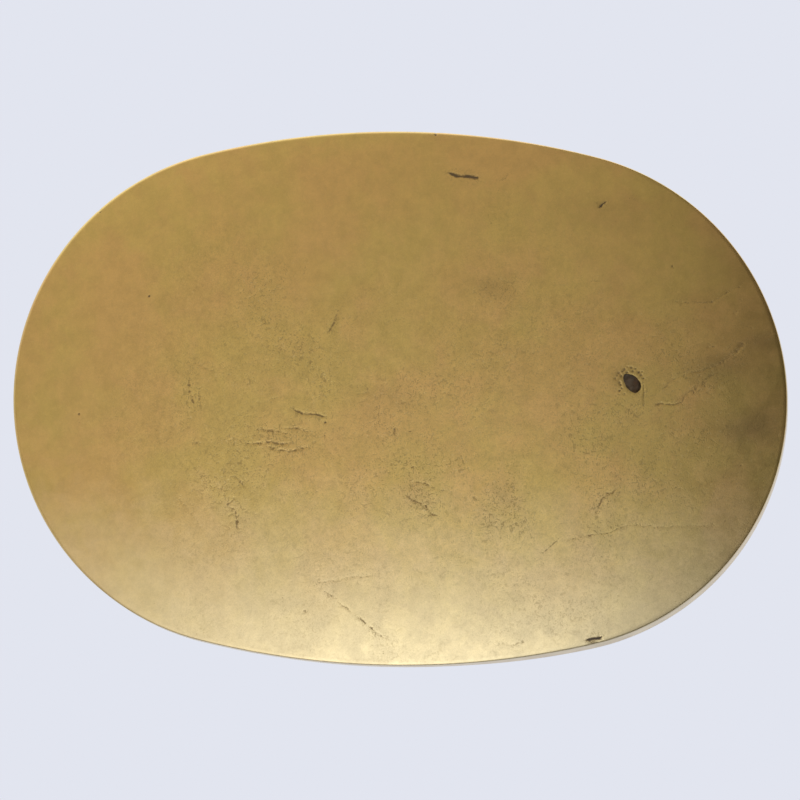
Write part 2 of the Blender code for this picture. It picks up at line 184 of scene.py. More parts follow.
class Skin:
    """Gathers points and faces, then makes one mesh object of them."""

    def __init__(self):
        self.points, self.count, self.faces, self.layers = [], 0, [], {}

    def add(self, x, y, z):
        x, y, z = np.broadcast_arrays(x, y, z)
        self.points.append(np.stack([x.ravel(), y.ravel(), z.ravel()], 1).astype(float))
        index = np.arange(self.count, self.count + x.size).reshape(x.shape)
        self.count += x.size
        return index

    def quads(self, a, b, c, d):
        self.faces.append(np.stack([a.ravel(), b.ravel(), c.ravel(), d.ravel()], 1))

    def triangles(self, a, b, c):
        self.faces.append(np.stack([a.ravel(), b.ravel(), c.ravel()], 1))

    def strip(self, near, far):
        """Joins two closed rings of the same length."""
        self.quads(near, far, np.roll(far, -1), np.roll(near, -1))

    def fan_out(self, near, far):
        """Joins a closed ring to one outside it with twice as many points."""
        even, odd, after = far[0::2], far[1::2], np.roll(far, -2)[0::2]
        self.triangles(near, odd, even)
        self.quads(near, np.roll(near, -1), after, odd)

    def cap(self, ring):
        """Closes a ring with a fan of triangles to its middle."""
        centre = self.add(*np.concatenate(self.points)[ring].mean(0)[:, None])
        self.triangles(np.roll(ring, -1), ring, np.broadcast_to(centre, ring.shape))

    def object(self, name, material, sharp_above=40):
        points = np.concatenate(self.points) * M
        mesh = bpy.data.meshes.new(name)
        mesh.vertices.add(len(points))
        mesh.vertices.foreach_set("co", points.astype(np.float32).ravel())
        sizes = np.concatenate([np.full(len(f), f.shape[1]) for f in self.faces])
        corners = np.concatenate([f.ravel() for f in self.faces])
        mesh.loops.add(len(corners))
        mesh.loops.foreach_set("vertex_index", corners.astype(np.int32))
        mesh.polygons.add(len(sizes))
        starts = np.concatenate([[0], np.cumsum(sizes)[:-1]])
        mesh.polygons.foreach_set("loop_start", starts.astype(np.int32))
        mesh.update(calc_edges=True)
        for layer, values in self.layers.items():
            attribute = mesh.attributes.new(layer, "FLOAT", "POINT")
            attribute.data.foreach_set("value", values.astype(np.float32))
        mesh.shade_smooth()
        mesh.set_sharp_from_angle(angle=math.radians(sharp_above))
        mesh.materials.append(material)
        obj = bpy.data.objects.new(name, mesh)
        bpy.context.scene.collection.objects.link(obj)
        return obj


# ---------------------------------------------------------------- marks on the face

# Strokes, cut by wear or stained: the points along each, then its width, depth and darkness.
STROKES = [
    # the dash near the top, the small one to its right, and the curl beside it
    ([(4.9, 24.35), (5.9, 24.05), (6.9, 23.9), (8.0, 23.88)], 0.44, 0.06, 0.9),
    ([(21.1, 20.7), (21.45, 21.1), (21.8, 21.4)], 0.34, 0.08, 1.0),
    ([(10.0, 23.5), (10.3, 23.4), (10.95, 23.75), (11.5, 24.4)], 0.15, 0.02, 0.45),
    # the forked double gouge at the left
    ([(-21.9, 4.6), (-21.9, 3.7)], 0.22, 0.03, 0.5),
    ([(-21.9, 3.7), (-20.8, 3.3), (-19.75, 2.7)], 0.18, 0.03, 0.5),
    ([(-22.3, 3.4), (-22.6, 1.9)], 0.14, 0.02, 0.4),
    ([(-22.6, 1.9), (-22.4, 0.6), (-22.1, -0.3), (-21.8, -1.5)], 0.28, 0.05, 0.75),
    ([(-21.5, 1.0), (-21.3, -1.0)], 0.22, 0.04, 0.6),
    # the raking scratches left of the centre
    ([(-11.3, -1.2), (-10.3, -1.6), (-8.6, -1.8), (-7.8, -1.95)], 0.27, 0.05, 0.85),
    ([(-15.3, -3.25), (-13.1, -3.5), (-11.6, -3.85)], 0.22, 0.03, 0.6),
    ([(-12.3, -3.2), (-10.7, -3.2), (-9.2, -3.7)], 0.24, 0.04, 0.6),
    ([(-16.1, -4.9), (-14.5, -4.8), (-11.75, -4.8)], 0.26, 0.05, 0.75),
    ([(-14.1, -5.15), (-12.6, -5.5), (-11.35, -5.6), (-9.6, -5.2)], 0.24, 0.04, 0.65),
    ([(-22.1, -4.8), (-21.0, -4.8)], 0.16, 0.02, 0.45),
    ([(-18.3, -4.65), (-17.5, -4.35), (-16.95, -4.5)], 0.18, 0.02, 0.5),
    ([(-17.4, -8.3), (-16.1, -9.8)], 0.18, 0.03, 0.55),
    ([(-20.9, -8.5), (-19.95, -9.4), (-18.3, -9.8)], 0.16, 0.02, 0.45),
    ([(-23.6, -10.55), (-22.4, -12.05), (-20.9, -13.8)], 0.13, 0.02, 0.42),
    ([(-18.3, -11.5), (-17.35, -10.8)], 0.20, 0.03, 0.65),
    ([(-18.0, -11.6), (-17.35, -12.1), (-17.15, -13.1)], 0.22, 0.03, 0.55),
    ([(-17.15, -13.0), (-17.0, -14.1)], 0.36, 0.04, 0.7),
    # the long straight ones at the bottom
    ([(-7.7, -20.5), (-6.6, -21.35)], 0.14, 0.03, 0.62),
    ([(-6.1, -21.75), (-4.8, -22.75)], 0.15, 0.04, 0.72),
    ([(-4.2, -23.2), (-3.1, -24.0)], 0.15, 0.04, 0.7),
    ([(-2.8, -24.25), (-1.3, -25.4)], 0.16, 0.04, 0.75),
    ([(-8.8, -19.8), (-6.0, -19.2), (-2.7, -18.7)], 0.12, 0.02, 0.42),
    ([(10.9, -26.0), (12.2, -25.95), (13.5, -25.7)], 0.12, 0.01, 0.35),
    ([(20.3, -25.5), (21.1, -25.3), (21.95, -25.02)], 0.28, 0.08, 1.0),
    # the gash right of the centre and the thin crack that runs on from it
    ([(21.1, -11.8), (21.65, -10.7), (22.2, -9.85)], 0.24, 0.04, 0.66),
    ([(22.2, -9.85), (22.9, -9.7), (23.4, -9.0)], 0.24, 0.04, 0.6),
    ([(15.4, -16.1), (16.3, -15.4), (17.4, -14.5)], 0.15, 0.02, 0.55),
    ([(17.7, -14.8), (19.6, -14.5), (21.0, -14.1), (22.6, -13.9), (24.6, -13.1)], 0.15, 0.02, 0.55),
    ([(24.6, -13.1), (28.0, -13.3), (31.0, -13.15), (34.3, -13.2)], 0.14, 0.02, 0.5),
    # about the worn spot
    ([(26.06, 1.9), (26.06, 0.9), (26.0, -0.3)], 0.15, 0.03, 0.6),
    ([(26.0, -0.4), (25.4, -0.7), (24.6, -1.4)], 0.14, 0.02, 0.5),
    # the dark branches that run up to the right-hand edge
    ([(28.1, 1.4), (28.8, 2.2), (29.9, 2.7), (31.1, 3.2), (32.7, 3.55)], 0.19, 0.03, 0.52),
    ([(32.7, 3.55), (34.3, 4.2), (36.1, 5.7), (36.5, 6.2)], 0.42, 0.03, 0.45),
    ([(27.4, -0.25), (29.4, -0.2), (30.1, 0.0)], 0.26, 0.04, 0.66),
    ([(30.1, 0.0), (30.4, 0.7), (31.0, 1.1), (31.8, 1.5), (32.1, 1.95)], 0.20, 0.03, 0.52),
    ([(32.1, 1.95), (32.9, 2.6), (33.7, 3.2)], 0.34, 0.03, 0.55),
    ([(32.8, 5.9), (33.6, 6.1)], 0.22, 0.03, 0.6),
    ([(37.25, 6.7), (38.6, 7.1), (39.95, 7.7)], 0.40, 0.01, 0.42),
    ([(35.6, 8.1), (37.9, 8.1)], 0.13, 0.01, 0.4),
    ([(35.8, 9.9), (35.8, 9.3)], 0.15, 0.02, 0.55),
    ([(29.2, 10.8), (30.05, 10.7), (31.2, 10.65)], 0.14, 0.02, 0.5),
    ([(31.2, 10.65), (32.3, 10.7), (33.3, 10.8)], 0.18, 0.02, 0.55),
    ([(33.3, 10.8), (33.9, 11.2), (34.9, 11.8), (35.9, 12.4), (36.6, 12.9)], 0.13, 0.02, 0.5),
    ([(29.4, -9.1), (30.4, -9.3)], 0.15, 0.02, 0.5),
    # the centre
    ([(-2.2, -0.5), (-2.2, -1.5), (-2.0, -2.5)], 0.18, 0.03, 0.6),
    ([(-0.5, -3.0), (-0.45, -3.7)], 0.24, 0.03, 0.6),
    ([(-4.6, 1.8), (-4.5, 1.2)], 0.16, 0.02, 0.55),
    ([(-3.5, 1.4), (-3.3, 0.7)], 0.18, 0.02, 0.6),
    ([(-4.6, 0.65), (-3.3, 0.65)], 0.14, 0.02, 0.5),
    ([(1.45, -9.55), (1.45, -8.95), (1.7, -8.7), (2.7, -8.9)], 0.16, 0.03, 0.6),
    ([(2.7, -8.9), (3.4, -9.2)], 0.30, 0.03, 0.65),
    ([(3.4, -9.2), (4.65, -9.65), (5.9, -9.8)], 0.14, 0.02, 0.5),
    ([(0.85, -10.2), (1.95, -10.8), (2.9, -11.25), (3.5, -12.05), (4.2, -12.25)], 0.26, 0.03, 0.62),
    ([(-1.0, -11.9), (-0.75, -12.5)], 0.18, 0.02, 0.5),
    ([(7.85, -10.25), (8.5, -10.75)], 0.18, 0.02, 0.55),
    ([(-2.6, 8.15), (-2.0, 8.3), (0.6, 8.7)], 0.12, 0.01, 0.35),
    # left of the centre, above
    ([(-6.65, 9.4), (-7.15, 8.05), (-7.65, 7.05)], 0.32, 0.04, 0.68),
    ([(-10.3, 7.8), (-10.6, 6.7)], 0.14, 0.02, 0.4),
    ([(-9.35, 4.2), (-9.7, 3.45)], 0.18, 0.02, 0.55),
    ([(-6.35, 5.2), (-6.5, 4.1)], 0.16, 0.02, 0.5),
    ([(-8.25, 2.4), (-7.65, 1.5)], 0.34, 0.03, 0.6),
    ([(-16.1, 2.3), (-15.95, 1.45)], 0.16, 0.02, 0.5),
    ([(-14.0, -0.25), (-12.8, 0.1)], 0.16, 0.02, 0.5),
    ([(-14.5, 8.7), (-14.5, 7.85)], 0.22, 0.02, 0.5),
    ([(-9.97, 14.8), (-10.15, 14.1), (-10.3, 13.4)], 0.12, 0.02, 0.45),
    ([(-12.4, 14.4), (-12.6, 13.4), (-12.3, 11.9)], 0.12, 0.02, 0.45),
    ([(-18.0, 12.9), (-16.4, 12.9)], 0.10, 0.01, 0.3),
    # faint arcs at the upper right
    ([(23.6, 22.2), (24.4, 21.8), (25.2, 22.1)], 0.13, 0.01, 0.35),
    ([(20.3, 12.9), (21.3, 12.9)], 0.12, 0.01, 0.4),
]

# Spots: place, radius, depth and darkness.
SPOTS = [
    (-26.9, 10.8, 0.21, 0.05, 1.0), (-34.3, -1.9, 0.20, 0.05, 0.9), (-7.86, -2.5, 0.25, 0.06, 1.0),
    (-7.86, -3.9, 0.18, 0.04, 0.8), (-9.75, -22.7, 0.24, 0.03, 0.65), (13.5, -25.7, 0.22, 0.03, 0.75),
    # the dotted chain at the upper right
    (9.3, 19.8, 0.13, 0.03, 0.6), (9.6, 19.0, 0.17, 0.03, 0.7), (10.4, 18.8, 0.13, 0.02, 0.6),
    (11.8, 17.6, 0.13, 0.03, 0.7), (12.8, 16.9, 0.12, 0.02, 0.5), (16.5, 16.0, 0.13, 0.02, 0.6),
    (15.7, 15.2, 0.14, 0.03, 0.65), (19.0, 14.4, 0.12, 0.02, 0.5), (11.0, 12.7, 0.14, 0.03, 0.65),
    (9.1, 12.1, 0.14, 0.03, 0.65), (10.2, 10.9, 0.13, 0.02, 0.6), (10.7, 10.4, 0.15, 0.03, 0.65),
    (29.1, 14.4, 0.13, 0.03, 0.6), (27.5, 20.7, 0.11, 0.02, 0.45), (28.9, 20.1, 0.12, 0.02, 0.5),
    # above the worn spot
    (23.3, 6.2, 0.14, 0.03, 0.65), (24.9, 6.8, 0.15, 0.03, 0.65), (25.6, 6.5, 0.12, 0.02, 0.55),
    (27.0, 7.0, 0.14, 0.03, 0.6), (28.4, 6.3, 0.17, 0.03, 0.75), (29.6, 5.5, 0.15, 0.03, 0.6),
    # towards the right-hand edge
    (30.05, 10.7, 0.15, 0.03, 0.6), (33.3, 10.8, 0.22, 0.04, 0.9), (34.9, 11.8, 0.13, 0.03, 0.6),
    (36.4, 11.1, 0.14, 0.02, 0.55), (36.5, 6.2, 0.42, 0.03, 0.7), (28.5, -2.5, 0.15, 0.03, 0.65),
    (29.4, -3.1, 0.13, 0.02, 0.55), (32.6, -3.0, 0.16, 0.02, 0.55), (31.8, -4.2, 0.14, 0.02, 0.55),
    (36.6, -6.7, 0.16, 0.04, 0.8), (33.6, -12.9, 0.15, 0.02, 0.55), (33.2, -14.2, 0.16, 0.02, 0.55),
    (31.1, -14.7, 0.15, 0.02, 0.5), (29.7, -12.95, 0.14, 0.02, 0.55), (25.9, -13.1, 0.14, 0.02, 0.55),
    (31.5, -10.1, 0.14, 0.02, 0.5),
    (36.0, 5.6, 0.24, 0.04, 0.85), (35.2, 5.2, 0.18, 0.03, 0.75), (34.2, 4.3, 0.16, 0.03, 0.7),
    (33.2, 3.7, 0.17, 0.03, 0.7), (32.0, 2.9, 0.15, 0.03, 0.7), (32.6, 1.8, 0.16, 0.03, 0.75),
    (31.4, 1.1, 0.14, 0.03, 0.7), (37.6, 8.0, 0.13, 0.02, 0.6), (35.7, 9.6, 0.15, 0.03, 0.7),
    (36.2, 12.4, 0.14, 0.02, 0.65), (38.0, 12.9, 0.12, 0.02, 0.5), (33.0, 14.6, 0.12, 0.02, 0.55),
    (29.0, 14.6, 0.17, 0.03, 0.8), (27.3, 3.0, 0.12, 0.02, 0.6), (22.6, -6.2, 0.13, 0.02, 0.6),
    (26.4, -3.6, 0.12, 0.02, 0.55), (30.8, -5.2, 0.14, 0.03, 0.65), (20.6, 6.3, 0.13, 0.02, 0.55),
    (19.3, 9.4, 0.16, 0.02, 0.55), (24.6, -4.4, 0.12, 0.02, 0.55), (35.0, -12.6, 0.14, 0.03, 0.7),
    (33.9, -15.0, 0.15, 0.03, 0.65), (36.4, -12.0, 0.12, 0.02, 0.55), (28.3, -9.6, 0.13, 0.02, 0.6),
    (17.4, -13.0, 0.12, 0.02, 0.5), (20.2, -20.2, 0.10, 0.02, 0.5), (12.6, -19.6, 0.10, 0.02, 0.45),
    # the centre
    (1.2, -3.35, 0.17, 0.03, 0.8), (3.05, -4.0, 0.14, 0.02, 0.6), (6.0, -7.55, 0.17, 0.03, 0.65),
    (7.0, -8.9, 0.16, 0.03, 0.6), (1.6, -7.2, 0.26, 0.03, 0.65), (7.1, -6.6, 0.18, 0.02, 0.55),
    # left of the centre
    (-9.97, 14.8, 0.17, 0.03, 0.6), (-10.3, 13.4, 0.17, 0.03, 0.6), (-12.3, 10.8, 0.25, 0.03, 0.65),
    (-15.3, 9.5, 0.18, 0.03, 0.55), (-13.8, 10.6, 0.15, 0.02, 0.5), (-13.2, 10.1, 0.15, 0.02, 0.5),
    (-12.7, 5.2, 0.26, 0.02, 0.45), (-11.9, 5.1, 0.22, 0.02, 0.45), (-10.85, 5.45, 0.24, 0.02, 0.5),
    (-10.4, 6.0, 0.22, 0.02, 0.45), (-9.25, 6.05, 0.22, 0.02, 0.45), (-10.8, 2.7, 0.16, 0.02, 0.5),
    (-6.8, 0.05, 0.16, 0.02, 0.5), (-0.9, 15.1, 0.13, 0.02, 0.45), (-1.85, 13.3, 0.13, 0.02, 0.45),
]

# The corrosion pits round the worn spot: (x, z) from its centre, and radius.
SPOT_PITS = [
    (-0.85, 1.47, 0.17), (-0.13, 1.68, 0.15), (0.67, 1.18, 0.17), (0.97, 0.88, 0.16), (0.07, 1.28, 0.13),
    (-1.43, 1.08, 0.16), (-1.78, 0.48, 0.15), (-1.33, 0.08, 0.14), (-1.23, -0.17, 0.14), (-1.33, -0.82, 0.13),
    (-0.55, 1.15, 0.12), (0.35, 1.55, 0.12), (-1.15, 0.75, 0.13), (-1.60, 0.80, 0.10), (-0.45, 1.75, 0.10),
    (1.20, 0.55, 0.11), (-1.05, 1.25, 0.11), (-1.10, -0.55, 0.10), (1.05, 1.25, 0.10), (-0.80, -1.15, 0.10),
]

# Patches of crackled tarnish: place, half sizes and strength.
PATCHES = [
    (-14.0, 9.0, 3.2, 2.4, 0.55), (-15.2, 12.2, 2.0, 1.8, 0.7), (-9.5, 4.0, 3.0, 2.0, 0.7),
    (-11.6, 5.9, 2.6, 1.2, 0.8), (-8.0, 1.3, 1.8, 2.0, 0.9), (-12.5, -4.0, 5.0, 2.2, 0.6),
    (-17.6, -6.0, 4.0, 3.2, 0.6), (-19.5, -9.0, 4.0, 2.6, 0.55), (-17.2, -12.6, 1.6, 2.6, 0.7),
    (2.0, -8.6, 2.2, 2.8, 1.0), (3.6, -11.4, 1.6, 1.8, 0.9), (0.2, -6.8, 3.2, 1.0, 0.8),
    (-1.0, -3.6, 1.4, 1.6, 0.9), (3.2, -4.4, 1.6, 1.0, 0.6), (6.6, -6.6, 2.6, 1.4, 0.7),
    (11.6, -9.2, 1.8, 3.2, 1.0), (12.6, -13.0, 2.2, 2.6, 0.7), (9.6, -12.0, 1.0, 2.6, 0.7),
    (21.4, -11.0, 1.2, 2.2, 0.6), (21.0, -5.0, 5.0, 3.6, 0.45), (27.2, -9.0, 5.0, 4.0, 0.45),
    (19.0, -4.0, 2.6, 1.6, 0.5), (9.8, 11.6, 2.6, 2.0, 0.6), (16.5, 8.4, 3.6, 1.6, 0.5),
    (10.5, 5.5, 3.4, 1.8, 0.5), (29.6, 5.0, 2.2, 1.8, 0.8), (32.5, 2.4, 3.0, 1.8, 0.7),
    (36.0, 5.4, 1.6, 1.6, 0.7), (3.0, 0.5, 6.0, 3.0, 0.35), (-4.0, -9.0, 6.0, 4.0, 0.3),
    (24.5, -1.5, 3.5, 2.0, 0.5), (31.5, -3.6, 2.6, 1.6, 0.6), (-22.0, -0.5, 1.2, 2.4, 0.5),
    (10.4, 20.5, 2.0, 2.6, 0.35), (-3.0, 9.0, 5.0, 3.0, 0.3), (16.0, -22.0, 6.0, 2.5, 0.3),
]

# Soft dark stains, and the pinker patches where the brass has lost its zinc.
STAINS = [
    (24.1, 2.6, 1.5, 1.1, 0.30), (36.3, -2.9, 2.2, 1.5, 0.45), (34.8, 4.6, 2.6, 0.9, 0.26),
    (9.8, 12.2, 2.0, 1.4, 0.22), (33.6, 3.2, 2.8, 1.2, 0.32),
    (39.0, -1.8, 2.2, 1.6, 0.30), (11.2, -10.5, 1.8, 3.0, 0.12), (2.4, -9.0, 2.2, 2.4, 0.10),
    (38.8, 6.6, 2.2, 1.0, 0.35), (-1.0, 0.6, 2.6, 1.2, 0.12), (21.5, 20.0, 3.4, 2.0, 0.15),
]
BLUSHES = [
    (13.5, 26.3, 4.6, 1.6, 0.9), (11.0, 24.6, 2.6, 1.4, 0.5), (7.8, -26.8, 3.4, 1.0, 1.0),
    (23.0, 16.5, 3.6, 4.0, 0.35), (14.5, 14.5, 3.0, 4.6, 0.30), (32.0, 9.0, 2.2, 2.4, 0.35),
    (-30.0, 12.0, 6.0, 8.0, 0.25), (-33.0, -10.0, 5.0, 8.0, 0.30), (1.4, -9.6, 2.0, 1.6, 0.35),
    (-4.0, 21.0, 7.0, 4.0, 0.20), (30.6, 0.4, 1.2, 0.8, 0.5), (-2.4, -2.0, 3.0, 3.0, 0.25),
    (24.5, 7.6, 2.6, 2.0, 0.25), (17.0, -21.5, 5.0, 3.0, 0.25), (-12.0, 24.5, 6.0, 2.0, 0.35),
]

# Nicks in the face's edge: angle in degrees, half width along the edge, and depth.
EDGE_NICKS = [(309.3, 0.75, 0.04), (82.6, 0.16, 0.06), (148.4, 0.16, 0.06)]
NICK_IS_BLACK_AT = 0.06


def stroke_field(x, z, points, width, seed):
    """How strongly each place lies in a ragged stroke, from 0 to 1, fading at its ends."""
    points = np.array(points, float)
    reach = width * 2
    low, high = points.min(0) - reach, points.max(0) + reach
    found = np.zeros(x.shape)
    near = (x > low[0]) & (x < high[0]) & (z > low[1]) & (z < high[1])
    px, pz = x[near], z[near]
    px = px + 0.10 * layered_noise(px, pz, 0.9, seed, 2)
    pz = pz + 0.10 * layered_noise(px, pz, 0.9, seed + 5, 2)
    lengths = np.hypot(*np.diff(points, axis=0).T)
    total, before, best, along = lengths.sum(), 0.0, np.full(px.shape, 1e9), np.zeros(px.shape)
    for (ax, az), (bx, bz), length in zip(points[:-1], points[1:], lengths):
        t = np.clip(((px - ax) * (bx - ax) + (pz - az) * (bz - az)) / length**2, 0, 1)
        off = np.hypot(px - ax - t * (bx - ax), pz - az - t * (bz - az))
        closer = off < best
        best = np.where(closer, off, best)
        along = np.where(closer, before + t * length, along)
        before += length
    ragged = 1 + 0.28 * value_noise(along + seed, along * 0, 0.35, seed)
    ends = smoothstep(0, min(0.5, total * 0.2), along) * smoothstep(0, min(0.5, total * 0.2), total - along)
    half = (0.48 * width + 0.03) * ragged * (0.5 + 0.5 * ends)
    found[near] = (1 - smoothstep(0.4, 1.3, best / half)) * (0.72 + 0.28 * ragged)
    return np.clip(found, 0, 1)


def blob(x, z, at, radius_x, radius_z):
    return np.exp(-(((x - at[0]) / radius_x) ** 2) - ((z - at[1]) / radius_z) ** 2)


def spot_distance(x, z):
    """Distance from the worn spot's centre, as a share of its ragged outline's radius there."""
    dx, dz = x - SPOT_AT[0], z - SPOT_AT[1]
    return np.hypot(dx, dz) / spot_radius(np.arctan2(dz, dx))


def spot_radius(angle):
    turned = angle - SPOT_LEAN
    across, along = SPOT_RADII
    plain = 1 / np.sqrt((np.cos(turned) / across) ** 2 + (np.sin(turned) / along) ** 2)
    ragged = 0.035 * np.sin(3 * angle + 0.8) + 0.03 * np.sin(5 * angle + 2.0) + 0.015 * np.sin(9 * angle)
    return plain * (1 + ragged)


def face_marks(x, z):
    """How far the face is pressed in at each place, and its layers of grime, crackle, stain and blush."""
    sunk = 0.020 * layered_noise(x, z, 15, 3, 3) + 0.0035 * layered_noise(x, z, 2.6, 9, 3)
    share = spot_distance(x, z)
    spot_x, spot_z = x - SPOT_AT[0], z - SPOT_AT[1]
    rise = RIM_DEPTH - dome(x, z)
    x = x - rise * math.tan(math.radians(CAMERA_RIGHT))
    z = z + rise * math.tan(math.radians(CAMERA_BELOW))
    grime = np.zeros(x.shape)
    halo = np.zeros(x.shape)
    for number, (points, width, depth, dark) in enumerate(STROKES):
        field = stroke_field(x, z, points, width, 31 * number + 7)
        sunk = sunk + MARK_DEPTH * depth * field
        grime = np.maximum(grime, dark * field)
        halo = np.maximum(halo, dark * stroke_field(x, z, points, 4 * width + 0.5, 31 * number + 7))
    for number, (sx, sz, radius, depth, dark) in enumerate(SPOTS):
        off = np.hypot(x - sx, z - sz) / radius
        off = off * (1 + 0.25 * value_noise(x + number, z, radius * 1.4, number))
        field = 1 - smoothstep(0.35, 1.1, off)
        sunk = sunk + MARK_DEPTH * depth * field
        grime = np.maximum(grime, dark * field)
    for from_x, from_z, radius in SPOT_PITS:
        off = np.hypot(spot_x - from_x, spot_z - from_z)
        field = 1 - smoothstep(0.3, 1.15, off / (PIT_SPREAD * radius))
        sunk = sunk + 0.02 * field
        grime = np.maximum(grime, 0.86 * field)
    sunk = sunk + 0.012 * (1 - smoothstep(0.95, 1.25, share))
    grime = np.maximum(grime, 0.55 * (1 - smoothstep(1.0, 1.12, share)))
    crackle, stain, blush = (
        sum(weight * blob(x, z, (bx, bz), rx, rz) for bx, bz, rx, rz, weight in group)
        for group in (PATCHES, STAINS, BLUSHES)
    )
    uneven = 0.12 * layered_noise(x, z, 9, 41, 3)
    wear = smoothstep(-34, -20, x + 30 * uneven) * smoothstep(17, 4, z + 0.12 * x + 30 * uneven)
    wear = wear * (1 - 0.45 * smoothstep(-15, -22, z))
    wear = np.clip(wear + 0.5 * blob(x, z, (13, 13), 8, 7), 0, 1)
    crackle = np.clip(crackle + 0.6 * halo, 0, 1.4)
    return sunk, {"grime": grime, "crackle": crackle, "stain": stain, "blush": blush, "wear": wear}


# ---------------------------------------------------------------- the face shell


def wall_flare(angle):
    """How far the wall's foot stands out beyond the face's edge: it has been bent out at the lower right."""
    off = (np.degrees(angle) - 318 + 180) % 360 - 180
    return 0.06 + 0.30 * np.exp(-((off / 30) ** 2)) + 0.02 * np.sin(angle * 7 + 1) * np.sin(angle * 3)


def rim_rings(skin, angle):
    """The rings from the face's edge round the wall and the rolled lip to the shell's inside."""
    base_x, base_z, nx, nz = outline(angle)
    flare = wall_flare(angle)
    nick = np.zeros(angle.shape)
    for degrees, half, depth in EDGE_NICKS:
        at_x, at_z, _, _ = outline(np.array([math.radians(degrees)]))
        off = np.hypot(base_x - at_x, base_z - at_z)
        nick = np.maximum(nick, depth * (1 - smoothstep(0.4, 1.0, off / half)))
    crisp = 0.35 + 0.65 * smoothstep(-0.2, 0.8, np.cos(angle - math.radians(135)))
    pucker = 0.5 + 0.5 * np.sin(angle * 61 + 2.2 * np.sin(angle * 5))
    wavy = value_noise(base_x, base_z, 5.0, 71) + 0.5 * value_noise(base_x, base_z, 2.0, 72)
    height = dome(base_x, base_z)
    foot = GAP + LIP_SHEET
    rings = []
    for k in range(1, EDGE_RINGS + 1):
        turn = math.pi / 2 * k / EDGE_RINGS
        inset = FACE_EDGE * (1 - math.sin(turn) ** crisp)
        fall = FACE_EDGE * (1 - max(math.cos(turn), 0) ** crisp)
        rings.append((inset + nick * math.cos(turn * 0.6), SHELL_FRONT + fall + nick * 0.6))
    top, bottom = SHELL_FRONT + FACE_EDGE, foot - LIP_BEND
    for k in range(1, WALL_RINGS + 1):
        t = k / WALL_RINGS
        rings.append((-flare * t**1.3 + 0.012 * wavy * math.sin(math.pi * t), top + (bottom - top) * t))
    for k in range(1, BEND_RINGS + 1):
        turn = math.pi / 2 * k / BEND_RINGS
        rings.append((-flare + LIP_BEND * (1 - math.cos(turn)), bottom + LIP_BEND * math.sin(turn)))
    edge = LIP_WIDTH + 0.13 * wavy + 0.05 * pucker
    for k in range(1, LIP_RINGS + 1):
        t = k / LIP_RINGS
        inset = (LIP_BEND - flare) * (1 - t) + (edge - LIP_ROUND) * t
        rings.append((inset, foot - 0.05 * pucker * math.sin(math.pi * t) + 0.03 * wavy * t))
    for k in range(1, TIP_RINGS + 1):
        turn = math.pi / 2 * k / TIP_RINGS
        inset = edge - LIP_ROUND * (1 - math.sin(turn))
        rings.append((inset, foot + 0.03 * wavy - LIP_ROUND * (1 - math.cos(turn))))
    rings.append((edge, GAP + 0.04))
    rings.append((SHELL_SHEET, GAP))
    rings.append((SHELL_SHEET, SHELL_INSIDE))
    made = []
    for number, (inset, y) in enumerate(rings):
        x, z = base_x - nx * inset, base_z - nz * inset
        made.append(skin.add(x, (dome(x, z) if number < EDGE_RINGS else height) + y, z))
    return made, nick


